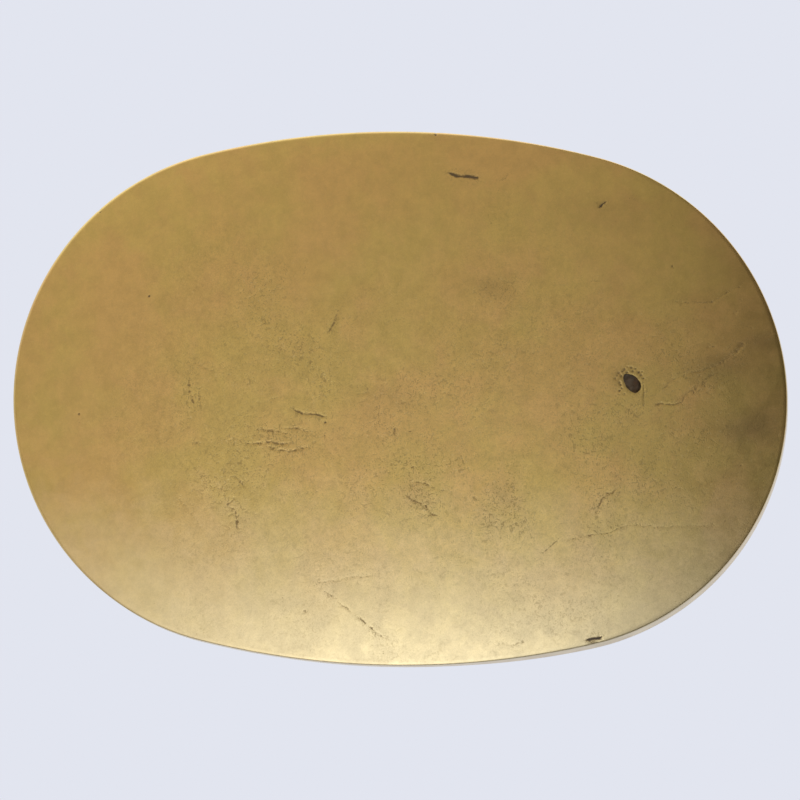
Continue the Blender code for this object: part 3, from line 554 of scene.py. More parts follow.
def make_face_shell(material):
    skin = Skin()
    x, z = oval_grid(CELLS_ALONG, CELLS_ACROSS, FACE_EDGE)
    sunk, layers = face_marks(x, z)
    grid = skin.add(x, dome(x, z) + SHELL_FRONT + sunk, z)
    values = {name: [field.ravel()] for name, field in layers.items()}

    # The block of cells round the worn spot is left out.
    at = np.unravel_index(np.argmin(np.hypot(x - SPOT_AT[0], z - SPOT_AT[1])), x.shape)
    first = (at[0] - SPOT_CELLS // 2, at[1] - SPOT_CELLS // 2)
    keep = np.ones((CELLS_ALONG, CELLS_ACROSS), bool)
    keep[first[0] : first[0] + SPOT_CELLS, first[1] : first[1] + SPOT_CELLS] = False
    skin.quads(grid[:-1, :-1][keep], grid[1:, :-1][keep], grid[1:, 1:][keep], grid[:-1, 1:][keep])

    # Rings from that block in to the spot's edge, then down through the sheet.
    block = border(SPOT_CELLS, SPOT_CELLS, *first)
    near = grid[block[:, 0], block[:, 1]]
    bx, bz = x[block[:, 0], block[:, 1]], z[block[:, 0], block[:, 1]]
    angle = np.arctan2(bz - SPOT_AT[1], bx - SPOT_AT[0])
    hx = SPOT_AT[0] + spot_radius(angle) * np.cos(angle)
    hz = SPOT_AT[1] + spot_radius(angle) * np.sin(angle)
    steps = 22
    for k in range(1, steps + 1):
        t = k / steps
        rx, rz = bx + (hx - bx) * t, bz + (hz - bz) * t
        ring_sunk, ring_layers = face_marks(rx, rz)
        far = skin.add(rx, dome(rx, rz) + SHELL_FRONT + ring_sunk, rz)
        for name, field in ring_layers.items():
            values[name].append(field)
        skin.quads(near, np.roll(near, -1), np.roll(far, -1), far)
        near = far
    for depth, widen in ((0.22, 0.01), (0.40, 0.03), (0.62, 0.08), (SHELL_SHEET, 0.16)):
        rx = hx + widen * np.cos(angle)
        rz = hz + widen * np.sin(angle)
        far = skin.add(rx, dome(rx, rz) + SHELL_FRONT + depth, rz)
        for name in values:
            values[name].append(np.full(len(rx), 0.9 if name == "grime" else 0.0))
        skin.quads(near, np.roll(near, -1), np.roll(far, -1), far)
        near = far
    inner_edge = (hx + 0.16 * np.cos(angle), hz + 0.16 * np.sin(angle))

    # The rim, from the face's border round to the inside.
    edge = border(CELLS_ALONG, CELLS_ACROSS)
    around = np.arctan2(z[edge[:, 0], edge[:, 1]], x[edge[:, 0], edge[:, 1]])
    rings, nick = rim_rings(skin, around)
    previous = grid[edge[:, 0], edge[:, 1]]
    for number, ring in enumerate(rings):
        skin.strip(previous, ring)
        previous = ring
        for name in values:
            values[name].append(rim_layer(name, number, around, nick))
    last = previous

    # The inside, in rings that double their points on the way out.
    ox, oz, _, _ = outline(around, SHELL_SHEET)
    spot_count = len(near)
    for step, share in enumerate((0.18, 0.40, 0.65, 0.88)):
        count = spot_count * 2 ** min(step, 3)
        between = np.arange(count) * spot_count / count
        whole = np.arange(spot_count + 1)
        from_x, from_z = (np.interp(between, whole, np.append(line, line[0])) for line in inner_edge)
        stride = len(ox) // count
        rx = from_x + (ox[::stride] - from_x) * share
        rz = from_z + (oz[::stride] - from_z) * share
        far = skin.add(rx, dome(rx, rz) + SHELL_INSIDE, rz)
        if len(far) == len(near):
            skin.quads(near, np.roll(near, -1), np.roll(far, -1), far)
        else:
            skin.fan_out(near, far)
        for name in values:
            values[name].append(np.zeros(count))
        near = far
    skin.fan_out(near, last)
    skin.layers = {name: np.concatenate(parts) for name, parts in values.items()}
    # The wall's rings get the rim layer, where the face's material paints a pale reflection.
    skin.layers["rim"] = np.zeros(skin.count)
    wall = np.concatenate(rings[EDGE_RINGS + 1 : EDGE_RINGS + WALL_RINGS + 2])
    skin.layers["rim"][wall] = 1.0
    return skin.object("face_shell_worn", material, 60)


def rim_layer(name, number, angle, nick):
    """A layer's values on one rim ring. It is darker in a line along the face's edge from the lower left
    round the bottom to the lower right; dirt lies in nicks and on the lip.
    """
    if name != "grime":
        return np.zeros(angle.shape)
    degrees = np.degrees(angle) % 360
    fold = smoothstep(205, 240, degrees) * (1 - smoothstep(345, 375, degrees)) if number in (2, 3) else 0.0
    lip_middle = EDGE_RINGS + WALL_RINGS + BEND_RINGS + LIP_RINGS // 2
    lip = 0.35 if number >= lip_middle else 0.0
    nicked = np.clip(nick / NICK_IS_BLACK_AT, 0, 1) * max(0.0, 1 - number / 6)
    return np.clip(0.5 * fold + lip + nicked, 0, 1) + 0 * angle


# ---------------------------------------------------------------- the back: its plate and fittings


def standing(at, lift=0.0):
    """The frame on the plate's rear face at x = at whose Y axis is the plate's normal there."""
    slope = math.atan(dome(at + 0.5, 0.0) - dome(at - 0.5, 0.0))
    turn = Matrix.Rotation(slope, 4, "Z")
    return Matrix.Translation((at, dome(at, 0.0), 0)) @ turn @ Matrix.Translation((0, lift, 0))


def moved(place, x, y, z):
    """Points of a frame, in the row frame."""
    x, y, z = (np.ravel(c) for c in np.broadcast_arrays(x, y, z))
    return (np.array(place) @ np.stack([x, y, z, np.ones(x.shape)]))[:3]


def eased(points, closed=False, step=0.07, passes=5):
    """A line through the points, resampled finely and with its corners eased."""
    points = np.array(list(points) + list(points[:1]) if closed else points, float)
    at = np.concatenate([[0], np.cumsum(np.sqrt((np.diff(points, axis=0) ** 2).sum(1)))])
    where = np.linspace(0, at[-1], int(at[-1] / step) + 1)
    line = np.stack([np.interp(where, at, column) for column in points.T], 1)
    line = line[:-1] if closed else line
    for _ in range(passes):
        between = (np.roll(line, 1, 0) + np.roll(line, -1, 0)) / 2
        if not closed:
            between[0], between[-1] = line[0], line[-1]
        line = (line + between) / 2
    return line


def swept(name, stations, place, material, closed=False, steps=80, seed=1, uneven=0.012):
    """A round piece through (x, y, lean, radius) rings, slightly out of true. A closed one is a washer."""
    skin = Skin()
    angle = 2 * math.pi * np.arange(steps) / steps
    line = eased(stations, closed)
    line = line if closed else line[1:-1]
    rings = []
    for x, y, lean, radius in line:
        off = layered_noise(2.2 * np.cos(angle) + 0.8 * y, 2.2 * np.sin(angle) - 0.6 * y, 1.1, seed, 3)
        r = radius + uneven * off * min(radius / 0.6, 1)
        across = r * np.cos(angle)
        ring_x, ring_y = x + across * math.cos(lean), y + across * math.sin(lean) + uneven * off
        rings.append(skin.add(*moved(place, ring_x, ring_y, r * np.sin(angle))))
    for near, far in zip(rings, rings[1:]):
        skin.strip(near, far)
    if closed:
        skin.strip(rings[-1], rings[0])
    else:
        skin.cap(rings[-1])
        skin.cap(rings[0][::-1])
    return skin.object(name, material, 60)


def turned(name, profile, place, material, **settings):
    """A piece turned about its frame's Y axis, from (radius, y) points."""
    return swept(name, [(0, y, 0, radius) for radius, y in profile], place, material, **settings)


def arc(centre, radius, start, end, steps):
    """Points on an arc between two angles in degrees, both ends included."""
    angles = np.radians(np.linspace(start, end, steps + 1))
    return [(centre[0] + radius * math.cos(a), centre[1] + radius * math.sin(a)) for a in angles]


def drafted(bm):
    """A working object in millimetres, to be cut and softened."""
    bmesh.ops.recalc_face_normals(bm, faces=bm.faces)
    mesh = bpy.data.meshes.new("draft")
    bm.to_mesh(mesh)
    bm.free()
    obj = bpy.data.objects.new("draft", mesh)
    bpy.context.scene.collection.objects.link(obj)
    return obj


def prism(outline_points, low, high, along_y=False):
    """A working solid: an outline carried from low to high along Z, or along Y."""
    bm = bmesh.new()
    ends = []
    for level in (low, high):
        ends.append([bm.verts.new((a, level, b) if along_y else (a, b, level)) for a, b in outline_points])
        bm.faces.new(ends[-1])
    near, far = ends
    for i in range(len(near)):
        j = (i + 1) % len(near)
        bm.faces.new((near[i], near[j], far[j], far[i]))
    return drafted(bm)


def rod(centre, radius, low, high, along_y=False):
    return prism(arc(centre, radius, 0, 356, 89), low, high, along_y)


def softened(name, draft, joined, cut, place, material, seed):
    """Joins and cuts working solids, rounds every edge, dents the faces and puts the piece in place."""
    for other, operation in [(o, "UNION") for o in joined] + [(o, "DIFFERENCE") for o in cut]:
        step = draft.modifiers.new("solid", "BOOLEAN")
        step.operation, step.object = operation, other
    cells = draft.modifiers.new("cells", "REMESH")
    cells.mode, cells.voxel_size = "VOXEL", SOFTENED_CELL
    soft = draft.modifiers.new("soft", "SMOOTH")
    soft.iterations = 6
    mesh = draft.evaluated_get(bpy.context.evaluated_depsgraph_get()).to_mesh()
    points, normals = np.empty(3 * len(mesh.vertices)), np.empty(3 * len(mesh.vertices))
    corners = np.empty(len(mesh.loops), np.int64)
    mesh.vertices.foreach_get("co", points)
    mesh.vertex_normals.foreach_get("vector", normals)
    mesh.loops.foreach_get("vertex_index", corners)
    points, normals = points.reshape(-1, 3), normals.reshape(-1, 3)
    x, y, z = points.T
    off = layered_noise(x + 0.7 * y, z - 0.6 * y, 3.2, seed, 3)
    off = off + 0.35 * layered_noise(x - 0.5 * y, z + 0.8 * y, 0.9, seed + 9, 2)
    points = points + normals * (SOFTENED_DENT * off)[:, None]
    skin = Skin()
    skin.add(*moved(place, *points.T))
    skin.faces.append(corners.reshape(-1, 4))
    for used in [draft, *joined, *cut]:
        bpy.data.objects.remove(used)
    return skin.object(name, material, 60)


def make_back_plate(material):
    """The thick plate that fills the shell, with pockets in its hidden face for the fixings."""
    skin = Skin()
    x, z = oval_grid(PLATE_CELLS_ALONG, PLATE_CELLS_ACROSS, PLATE_INSET + PLATE_CHAMFER)
    beaten = 0.022 * layered_noise(x, z, 7.5, 61, 2) + 0.008 * layered_noise(x, z, 2.4, 62, 3)
    rear = skin.add(x, dome(x, z) - np.clip(0.02 + beaten, 0, 0.08), z)
    pocket = (TENON_HEAD + PIN_GAP) * (np.hypot(x - HOOK_AT, z) < TENON_HEAD_RADIUS + PIN_GAP)
    for rivet_z in RIVET_PLACES:
        tail = np.hypot(x - LOOP_AT, z - rivet_z) < RIVET_TAIL_RADIUS + PIN_GAP
        pocket = np.maximum(pocket, (RIVET_TAIL + PIN_GAP) * tail)
    front = skin.add(x, dome(x, z) - PLATE_SHEET + pocket, z)
    skin.quads(rear[:-1, :-1], rear[:-1, 1:], rear[1:, 1:], rear[1:, :-1])
    skin.quads(front[:-1, :-1], front[1:, :-1], front[1:, 1:], front[:-1, 1:])
    edge = border(PLATE_CELLS_ALONG, PLATE_CELLS_ACROSS)
    ex, ez = x[edge[:, 0], edge[:, 1]], z[edge[:, 0], edge[:, 1]]
    ox, oz, nx, nz = outline(np.arctan2(ez, ex))
    previous = front[edge[:, 0], edge[:, 1]]
    for y in (PLATE_CHAMFER - PLATE_SHEET, -PLATE_CHAMFER):
        rx, rz = ox - nx * PLATE_INSET, oz - nz * PLATE_INSET
        ring = skin.add(rx, dome(ox, oz) + y, rz)
        skin.strip(previous, ring)
        previous = ring
    skin.strip(previous, rear[edge[:, 0], edge[:, 1]])
    # Near the lip and the fittings the plate is made browner and darker: partly tarnish and dirt, partly
    # painted shade.
    near_lip = (x / (HALF_LENGTH - LIP_WIDTH)) ** 2 + (z / (HALF_HEIGHT - LIP_WIDTH)) ** 2
    near_lip = smoothstep(0.80, 0.99, near_lip)
    beside, beyond = np.abs(x - LOOP_AT) - BRACKET_WIDTH / 2, np.abs(z) - (LOOP_INSIDE - 1) / 2
    off_bracket = np.hypot(np.maximum(beside, 0), np.maximum(beyond, 0))
    off_washer = np.maximum(np.hypot(x - HOOK_AT, z) - HOOK_WASHER_RADIUS, 0)
    near_fitting = np.maximum(np.exp(-off_bracket / 0.9), np.exp(-off_washer / 0.8))
    dirt_and_painted_shade = np.clip(0.8 * near_lip + near_fitting, 0, 1).ravel()
    skin.layers["dirt_and_painted_shade"] = np.concatenate([dirt_and_painted_shade, np.zeros(skin.count - dirt_and_painted_shade.size)])
    return skin.object("back_plate_worn", material, 40)


def bracket_outline():
    """(z, y, lean, half width) along the strip's middle, from one ear's top to the other's."""
    ear_z = LOOP_INSIDE / 2 - EAR_PLAY - BRACKET_SHEET / 2
    foot_y = GAP + BRACKET_SHEET / 2
    turn_radius = BRACKET_BEND + BRACKET_SHEET / 2
    corner_z = ear_z - turn_radius
    stations = []
    for i in range(24):
        turn = math.pi / 2 * (i + 1) / 24
        half = EAR_RADIUS * math.sin(turn)
        stations.append((ear_z, PIN_HEIGHT + EAR_RADIUS * math.cos(turn), math.pi / 2, half))
    base = dome(LOOP_AT, corner_z) - dome(LOOP_AT, 0) + foot_y
    full = BRACKET_WIDTH / 2
    for i in range(1, 13):
        t = i / 12
        y = PIN_HEIGHT + (base + turn_radius - PIN_HEIGHT) * t
        stations.append((ear_z, y, math.pi / 2, EAR_RADIUS + (full - EAR_RADIUS) * t))
    for i in range(1, 17):
        lean = math.pi / 2 * (1 - i / 17)
        z, y = corner_z + turn_radius * math.sin(lean), base + turn_radius * (1 - math.cos(lean))
        stations.append((z, y, lean, full))
    for i in range(31):
        z = corner_z * (1 - i / 30)
        stations.append((z, dome(LOOP_AT, z) - dome(LOOP_AT, 0) + foot_y, 0.0, full))
    return stations + [(-z, y, -lean, half) for z, y, lean, half in reversed(stations[:-1])]


def make_bracket(material):
    """The bent strip that carries the hinge pin, bored for the pin and its rivets."""
    bm = bmesh.new()
    sections = []
    for z, y, lean, half in bracket_outline():
        across = Vector((0, math.cos(lean), -math.sin(lean))) * BRACKET_SHEET / 2
        middle, side = Vector((0, y, z)), Vector((half, 0, 0))
        corners = (across + side, side - across, -across - side, across - side)
        sections.append([bm.verts.new(middle + corner) for corner in corners])
    for near, far in zip(sections, sections[1:]):
        for i in range(4):
            j = (i + 1) % 4
            bm.faces.new((near[i], near[j], far[j], far[i]))
    bm.faces.new(sections[0])
    bm.faces.new(sections[-1])
    holes = [rod((0, PIN_HEIGHT), PIN_RADIUS + PIN_GAP, -22, 22)]
    holes += [rod((0, z), RIVET_RADIUS + PIN_GAP, -3, 5, along_y=True) for z in RIVET_PLACES]
    return softened("bail_bracket_worn", drafted(bm), [], holes, standing(LOOP_AT), material, 15)


def make_bail(material):
    """The loop that the belt's fixed end folds round, with an eye at the end of each arm."""
    outside, inside = LOOP_INSIDE / 2 + LOOP_ARM, LOOP_INSIDE / 2
    far, near = -LOOP_REACH, LOOP_BAR - LOOP_REACH
    big, small = LOOP_CORNER, LOOP_INNER_CORNER
    points = [(0, outside)] + arc((far + big, outside - big), big, 90, 180, 24)
    points += arc((far + big, big - outside), big, 180, 270, 24) + [(0, -outside), (0, -inside)]
    points += arc((near + small, small - inside), small, 270, 180, 14)
    points += arc((near + small, inside - small), small, 180, 90, 14) + [(0, inside)]
    frame_of_bar = prism(points, -LOOP_THICKNESS / 2, LOOP_THICKNESS / 2, along_y=True)
    bevel = frame_of_bar.modifiers.new("edges", "BEVEL")
    bevel.width, bevel.segments = LOOP_EDGE + 0.1, 4
    eyes = [rod((0, 0), EYE_RADIUS, inside, outside), rod((0, 0), EYE_RADIUS, -outside, -inside)]
    bore = rod((0, 0), PIN_RADIUS + PIN_GAP, -24, 24)
    return softened("bail_worn", frame_of_bar, eyes, [bore], standing(LOOP_AT, PIN_HEIGHT), material, 25)


def head_of(radius, rise, seat, steps=16):
    """The round top of a rivet head or pin end, from its rim to the axis."""
    turns = [math.pi / 2 * i / steps for i in range(steps + 1)]
    return [(radius * math.cos(t), seat + rise * math.sin(t)) for t in turns]


def make_rivet(number, z, material):
    seat = 2 * GAP + BRACKET_SHEET
    profile = [(0, -PLATE_SHEET), (RIVET_TAIL_RADIUS, -PLATE_SHEET)]
    profile += [(RIVET_RADIUS, RIVET_TAIL - PLATE_SHEET), (RIVET_RADIUS, seat)]
    profile += head_of(RIVET_HEAD_RADIUS, RIVET_HEAD, seat)
    place = standing(LOOP_AT) @ Matrix.Translation((0, dome(LOOP_AT, z) - dome(LOOP_AT, 0), z))
    return turned(f"bracket_rivet_{number}_worn", profile, place, material, seed=40 + number, uneven=0.022)


def make_pin(material):
    end = LOOP_INSIDE / 2 + LOOP_ARM + 2 * SIDE_PLAY + PIN_WASHER
    half = [(PIN_RADIUS, end)] + head_of(PIN_HEAD_RADIUS, PIN_HEAD, end)
    profile = [(radius, -y) for radius, y in reversed(half)] + half
    place = standing(LOOP_AT, PIN_HEIGHT) @ Matrix.Rotation(math.pi / 2, 4, "X")
    return turned("hinge_pin_worn", profile, place, material, seed=51, uneven=0.012)


def make_pin_washer(side, direction, material):
    low = LOOP_INSIDE / 2 + LOOP_ARM + SIDE_PLAY
    high = low + PIN_WASHER
    hole = PIN_RADIUS + PIN_GAP
    profile = [(hole, low), (PIN_WASHER_RADIUS, low), (PIN_WASHER_RADIUS, high), (hole, high)]
    place = standing(LOOP_AT, PIN_HEIGHT) @ Matrix.Rotation(direction * math.pi / 2, 4, "X")
    return turned(f"pin_washer_{side}_worn", profile, place, material, closed=True, seed=55 + direction)


def make_hook_washer(material):
    low, high, hole = GAP, GAP + HOOK_WASHER, TENON_SIDE * 0.72
    profile = [(hole, low), (HOOK_WASHER_RADIUS, low), (HOOK_WASHER_RADIUS, high - 0.15)]
    profile += [(HOOK_WASHER_RADIUS - 0.15, high), (hole, high)]
    settings = {"closed": True, "seed": 61, "uneven": 0.02, "steps": 120}
    return turned("hook_washer_worn", profile, standing(HOOK_AT), material, **settings)


def make_hook(material):
    """The forged hook: a flush head and tenon in the plate, a collar, and a leaning stem with a round tip."""
    head_top = TENON_HEAD - PLATE_SHEET
    collar_low = 2 * GAP + HOOK_WASHER
    collar_high = collar_low + COLLAR
    stem_top = collar_high + STEM_RISE
    tenon = TENON_SIDE * 0.56
    steps = [(-PLATE_SHEET, 0), (-PLATE_SHEET, TENON_HEAD_RADIUS), (head_top, TENON_HEAD_RADIUS)]
    steps += [(head_top, tenon), (collar_low, tenon), (collar_low, COLLAR_RADIUS)]
    steps += [(collar_high, COLLAR_RADIUS), (collar_high + 0.1, STEM_RADIUS + 0.15)]
    stations = [(0, y, 0, radius) for y, radius in steps]
    for i in range(33):
        lean = HOOK_TURN * i / 32
        x, y = -HOOK_CURVE * (1 - math.cos(lean)), stem_top + HOOK_CURVE * math.sin(lean)
        stations.append((x, y, lean, STEM_RADIUS + (TIP_RADIUS - STEM_RADIUS) * i / 32))
    end_x, end_y = stations[-1][:2]
    for i in range(1, 25):
        turn = math.pi / 2 * i / 24
        ahead = TIP_RADIUS * math.sin(turn)
        x, y = end_x - math.sin(HOOK_TURN) * ahead, end_y + math.cos(HOOK_TURN) * ahead
        stations.append((x, y, HOOK_TURN, TIP_RADIUS * math.cos(turn)))
    return swept("hook_forged", stations, standing(HOOK_AT), material, seed=71, uneven=0.035)


# ---------------------------------------------------------------- materials

OLIVE_GOLD = (0.66, 0.475, 0.148)
PINK_GOLD = (0.70, 0.455, 0.160)
# The paler brass of the painted highlight low on the face.
PAINTED_HIGHLIGHT_BRASS = (0.76, 0.605, 0.325)
STAIN_BROWN = (0.20, 0.135, 0.060)
DIRT_OLIVE = (0.25, 0.170, 0.058)
# The pale colour of the painted reflection on the wall.
WALL_PAINTED_REFLECTION = (1.0, 0.84, 0.60)
MARK_BROWN = (0.22, 0.14, 0.05)
GRIME_DARK = (0.060, 0.036, 0.018)
PALE_FLECK = (0.88, 0.72, 0.40)
# Below these heights the face is painted paler: a painted highlight.
PAINTED_HIGHLIGHT_FROM, PAINTED_HIGHLIGHT_TO = -5.0, -29.0   # heights on the face, in millimetres

BACK_GOLD = (0.52, 0.385, 0.165)
BACK_BROWN = (0.215, 0.140, 0.060)
# Dark colour for dirt specks, and for the painted shade near the lip and fittings on the back plate.
BACK_DIRT_AND_SHADE = (0.070, 0.048, 0.028)
BACK_SCRATCH = (0.72, 0.56, 0.28)
VERDIGRIS = (0.20, 0.27, 0.17)


class Value:
    """A value in a shader. Adding, taking away and multiplying make the nodes that do so."""

    def __init__(self, graph, socket):
        self.graph, self.socket = graph, socket

    def __add__(self, other):
        return self.graph.math("ADD", self, other)

    def __radd__(self, other):
        return self.graph.math("ADD", other, self)

    def __sub__(self, other):
        return self.graph.math("SUBTRACT", self, other)

    def __rsub__(self, other):
        return self.graph.math("SUBTRACT", other, self)

    def __mul__(self, other):
        return self.graph.math("MULTIPLY", self, other)

    def clamped(self):
        """The result of a sum or product, kept from 0 to 1."""
        self.socket.node.use_clamp = True
        return self


class Graph:
    """Short ways to add and join shader nodes."""

    def __init__(self, tree):
        self.tree = tree

    def add(self, kind, **settings):
        node = self.tree.nodes.new(kind)
        for name, value in settings.items():
            setattr(node, name, value)
        return node

    def out(self, kind, output, **settings):
        return Value(self, self.add(kind, **settings).outputs[output])

    def put(self, socket, value):
        """Gives a socket a shader value, a number, or a colour as three numbers."""
        if isinstance(value, Value):
            self.tree.links.new(value.socket, socket)
        else:
            socket.default_value = (*value, 1.0) if isinstance(value, tuple) else value

    def math(self, operation, a, b=0.0):
        node = self.add("ShaderNodeMath", operation=operation)
        self.put(node.inputs[0], a)
        self.put(node.inputs[1], b)
        return Value(self, node.outputs[0])

    def larger(self, a, b):
        return self.math("MAXIMUM", a, b)

    def span(self, value, low, high, to_low=0.0, to_high=1.0):
        """Maps low..high smoothly to to_low..to_high."""
        node = self.add("ShaderNodeMapRange", interpolation_type="SMOOTHSTEP")
        settings = {"Value": value, "From Min": low, "From Max": high, "To Min": to_low, "To Max": to_high}
        for name, setting in settings.items():
            self.put(node.inputs[name], setting)
        return Value(self, node.outputs["Result"])

    def mix(self, factor, a, b, blend="MIX"):
        node = self.add("ShaderNodeMix", data_type="RGBA", blend_type=blend)
        self.put(node.inputs["Factor"], factor)
        self.put(node.inputs[6], a)
        self.put(node.inputs[7], b)
        return Value(self, node.outputs[2])

    def dimmed(self, colour, value):
        """A colour times a value."""
        grey = self.add("ShaderNodeCombineColor")
        for socket in grey.inputs[:3]:
            self.put(socket, value)
        return self.mix(1.0, colour, Value(self, grey.outputs["Color"]), "MULTIPLY")

    def part(self, vector, axis):
        node = self.add("ShaderNodeSeparateXYZ")
        self.put(node.inputs[0], vector)
        return Value(self, node.outputs[axis])

    def noise(self, at, scale, detail=3.0, roughness=0.5, distortion=0.0):
        node = self.add("ShaderNodeTexNoise")
        settings = {"Vector": at, "Scale": scale, "Detail": detail}
        settings.update({"Roughness": roughness, "Distortion": distortion})
        for name, setting in settings.items():
            self.put(node.inputs[name], setting)
        return Value(self, node.outputs["Fac"])

    def layer(self, name):
        return self.out("ShaderNodeAttribute", "Fac", attribute_name=name)

    def bump(self, height, distance, strength):
        node = self.add("ShaderNodeBump")
        self.put(node.inputs["Strength"], strength)
        self.put(node.inputs["Distance"], distance)
        self.put(node.inputs["Height"], height)
        return Value(self, node.outputs["Normal"])

    def millimetres(self, stretch=(1, 1, 1)):
        """The place on the object, in millimetres."""
        node = self.add("ShaderNodeMapping")
        node.inputs["Scale"].default_value = Vector(stretch) * 1000
        self.put(node.inputs["Vector"], self.out("ShaderNodeTexCoord", "Object"))
        return Value(self, node.outputs["Vector"])


def new_material(name):
    material = bpy.data.materials.new(name)
    material.use_nodes = True
    return material, Graph(material.node_tree), material.node_tree.nodes["Principled BSDF"]


def crack_lines(g, place, scale, width, broken_at=0.50):
    """Thin wandering lines, broken into short lengths."""
    ridge = g.math("ABSOLUTE", g.noise(place, scale, 3, 0.5, 0.9) - 0.5)
    kept = g.span(g.noise(place, 3.0 * scale, 2, 0.5), broken_at, broken_at + 0.08)
    return g.span(ridge, 0.3 * width, width, 1.0, 0.0) * kept


def face_brass():
    """Gilt brass: ochre and olive patches, a painted highlight that makes it paler low down, a painted
    reflection on the wall, crackled tarnish and dirty marks.
    """
    material, g, surface = new_material("face_brass_worn")
    place = g.millimetres()
    names = ("grime", "crackle", "stain", "blush", "wear")
    grime, crackle, stain, blush, wear = (g.layer(name) for name in names)
    height = g.part(place, "Z")

    broad = g.noise(place, 0.09, 3, 0.55)
    patch = g.noise(place, 0.40, 4, 0.6, 0.5)
    mottle = g.noise(place, 1.7, 4, 0.7)
    grain = g.noise(place, 7.0, 3, 0.75)

    pink = g.span(broad, 0.40, 0.62, 0.0, 0.7) + g.span(patch, 0.42, 0.68, 0.0, 0.35)
    colour = g.mix((pink + blush).clamped(), OLIVE_GOLD, PINK_GOLD)
    # Painted highlight: the brass is painted paler towards the bottom of the face, standing in for the bright
    # light it mirrors there.
    painted_highlight = g.span(height, PAINTED_HIGHLIGHT_FROM, PAINTED_HIGHLIGHT_TO) + (patch - 0.5) * 0.5
    painted_highlight = (painted_highlight * g.span(height, PAINTED_HIGHLIGHT_FROM, PAINTED_HIGHLIGHT_FROM - 6)).clamped()
    colour = g.mix(painted_highlight, colour, PAINTED_HIGHLIGHT_BRASS)
    # Painted reflection: the wall is painted pale, standing in for the bright room it mirrors.
    colour = g.mix(g.layer("rim") * 0.9, colour, WALL_PAINTED_REFLECTION)

    cloudy = g.span(g.noise(place, 0.55, 3, 0.55), 0.30, 0.70, -0.045, 0.045)
    fine = g.span(mottle, 0.30, 0.70, -0.08, 0.08) + g.span(grain, 0.28, 0.72, -0.12, 0.12)
    colour = g.dimmed(colour, 0.99 + cloudy + fine * (0.35 + wear * 0.45))

    # Fine broken cracks, and specks that gather where the tarnish is thick.
    thick = crackle + wear * g.span(g.noise(place, 0.16, 3, 0.6), 0.36, 0.66, 0.25, 0.75)
    cracks = g.larger(crack_lines(g, place, 0.85, 0.045), crack_lines(g, place, 2.0, 0.065, 0.53))
    cracks = (cracks * (thick * 0.85)).clamped()
    specks = g.span(g.noise(place, 3.0, 3, 0.6) - (0.745 - thick * 0.10), -0.01, 0.04)
    dirt = g.larger(cracks * 0.75, specks * 0.7)

    # The marks' own dirt has a ragged edge, finer than the mesh, and only the darkest of it is unbroken.
    ragged = (g.noise(place, 3.3, 4, 0.7) - 0.5) * 2.6
    filled = g.span(grime + ragged, 0.20, 0.58) * g.span(grime, 0.03, 0.20)
    broken = g.span(g.noise(place, 1.5, 3, 0.65), 0.40, 0.54, 0.30, 1.0)
    filled = filled * g.larger(broken, g.span(grime, 0.70, 0.90))
    deep = filled * g.span(grime, 0.15, 1.0, 0.25, 0.95)

    colour = g.mix((stain * 0.9).clamped(), colour, STAIN_BROWN)
    colour = g.mix((dirt * 0.62).clamped(), colour, DIRT_OLIVE)
    colour = g.mix(deep, colour, g.mix(g.span(grime, 0.72, 1.0), MARK_BROWN, GRIME_DARK))
    bright = g.span(g.noise(place, 4.2, 3, 0.7), 0.58, 0.72)
    bright = (bright * (0.35 + thick * 0.6 - deep)).clamped()
    g.put(surface.inputs["Base Color"], g.mix(bright * 0.34, colour, PALE_FLECK))

    rough = g.span(patch, 0.3, 0.7, 0.32, 0.40) + deep * 0.35 + dirt * 0.15
    g.put(surface.inputs["Roughness"], rough)
    g.put(surface.inputs["Metallic"], 1.0 - deep * g.span(grime, 0.60, 1.0, 0.10, 0.60))
    g.put(surface.inputs["Coat Weight"], 0.4)
    g.put(surface.inputs["Coat Roughness"], 0.4)
    rise = (grain * 0.7 + mottle) * (0.3 + wear * 0.5) + bright * 0.4 - dirt * 1.1
    g.put(surface.inputs["Normal"], g.bump(rise, 0.008 * M, 0.8))
    return material


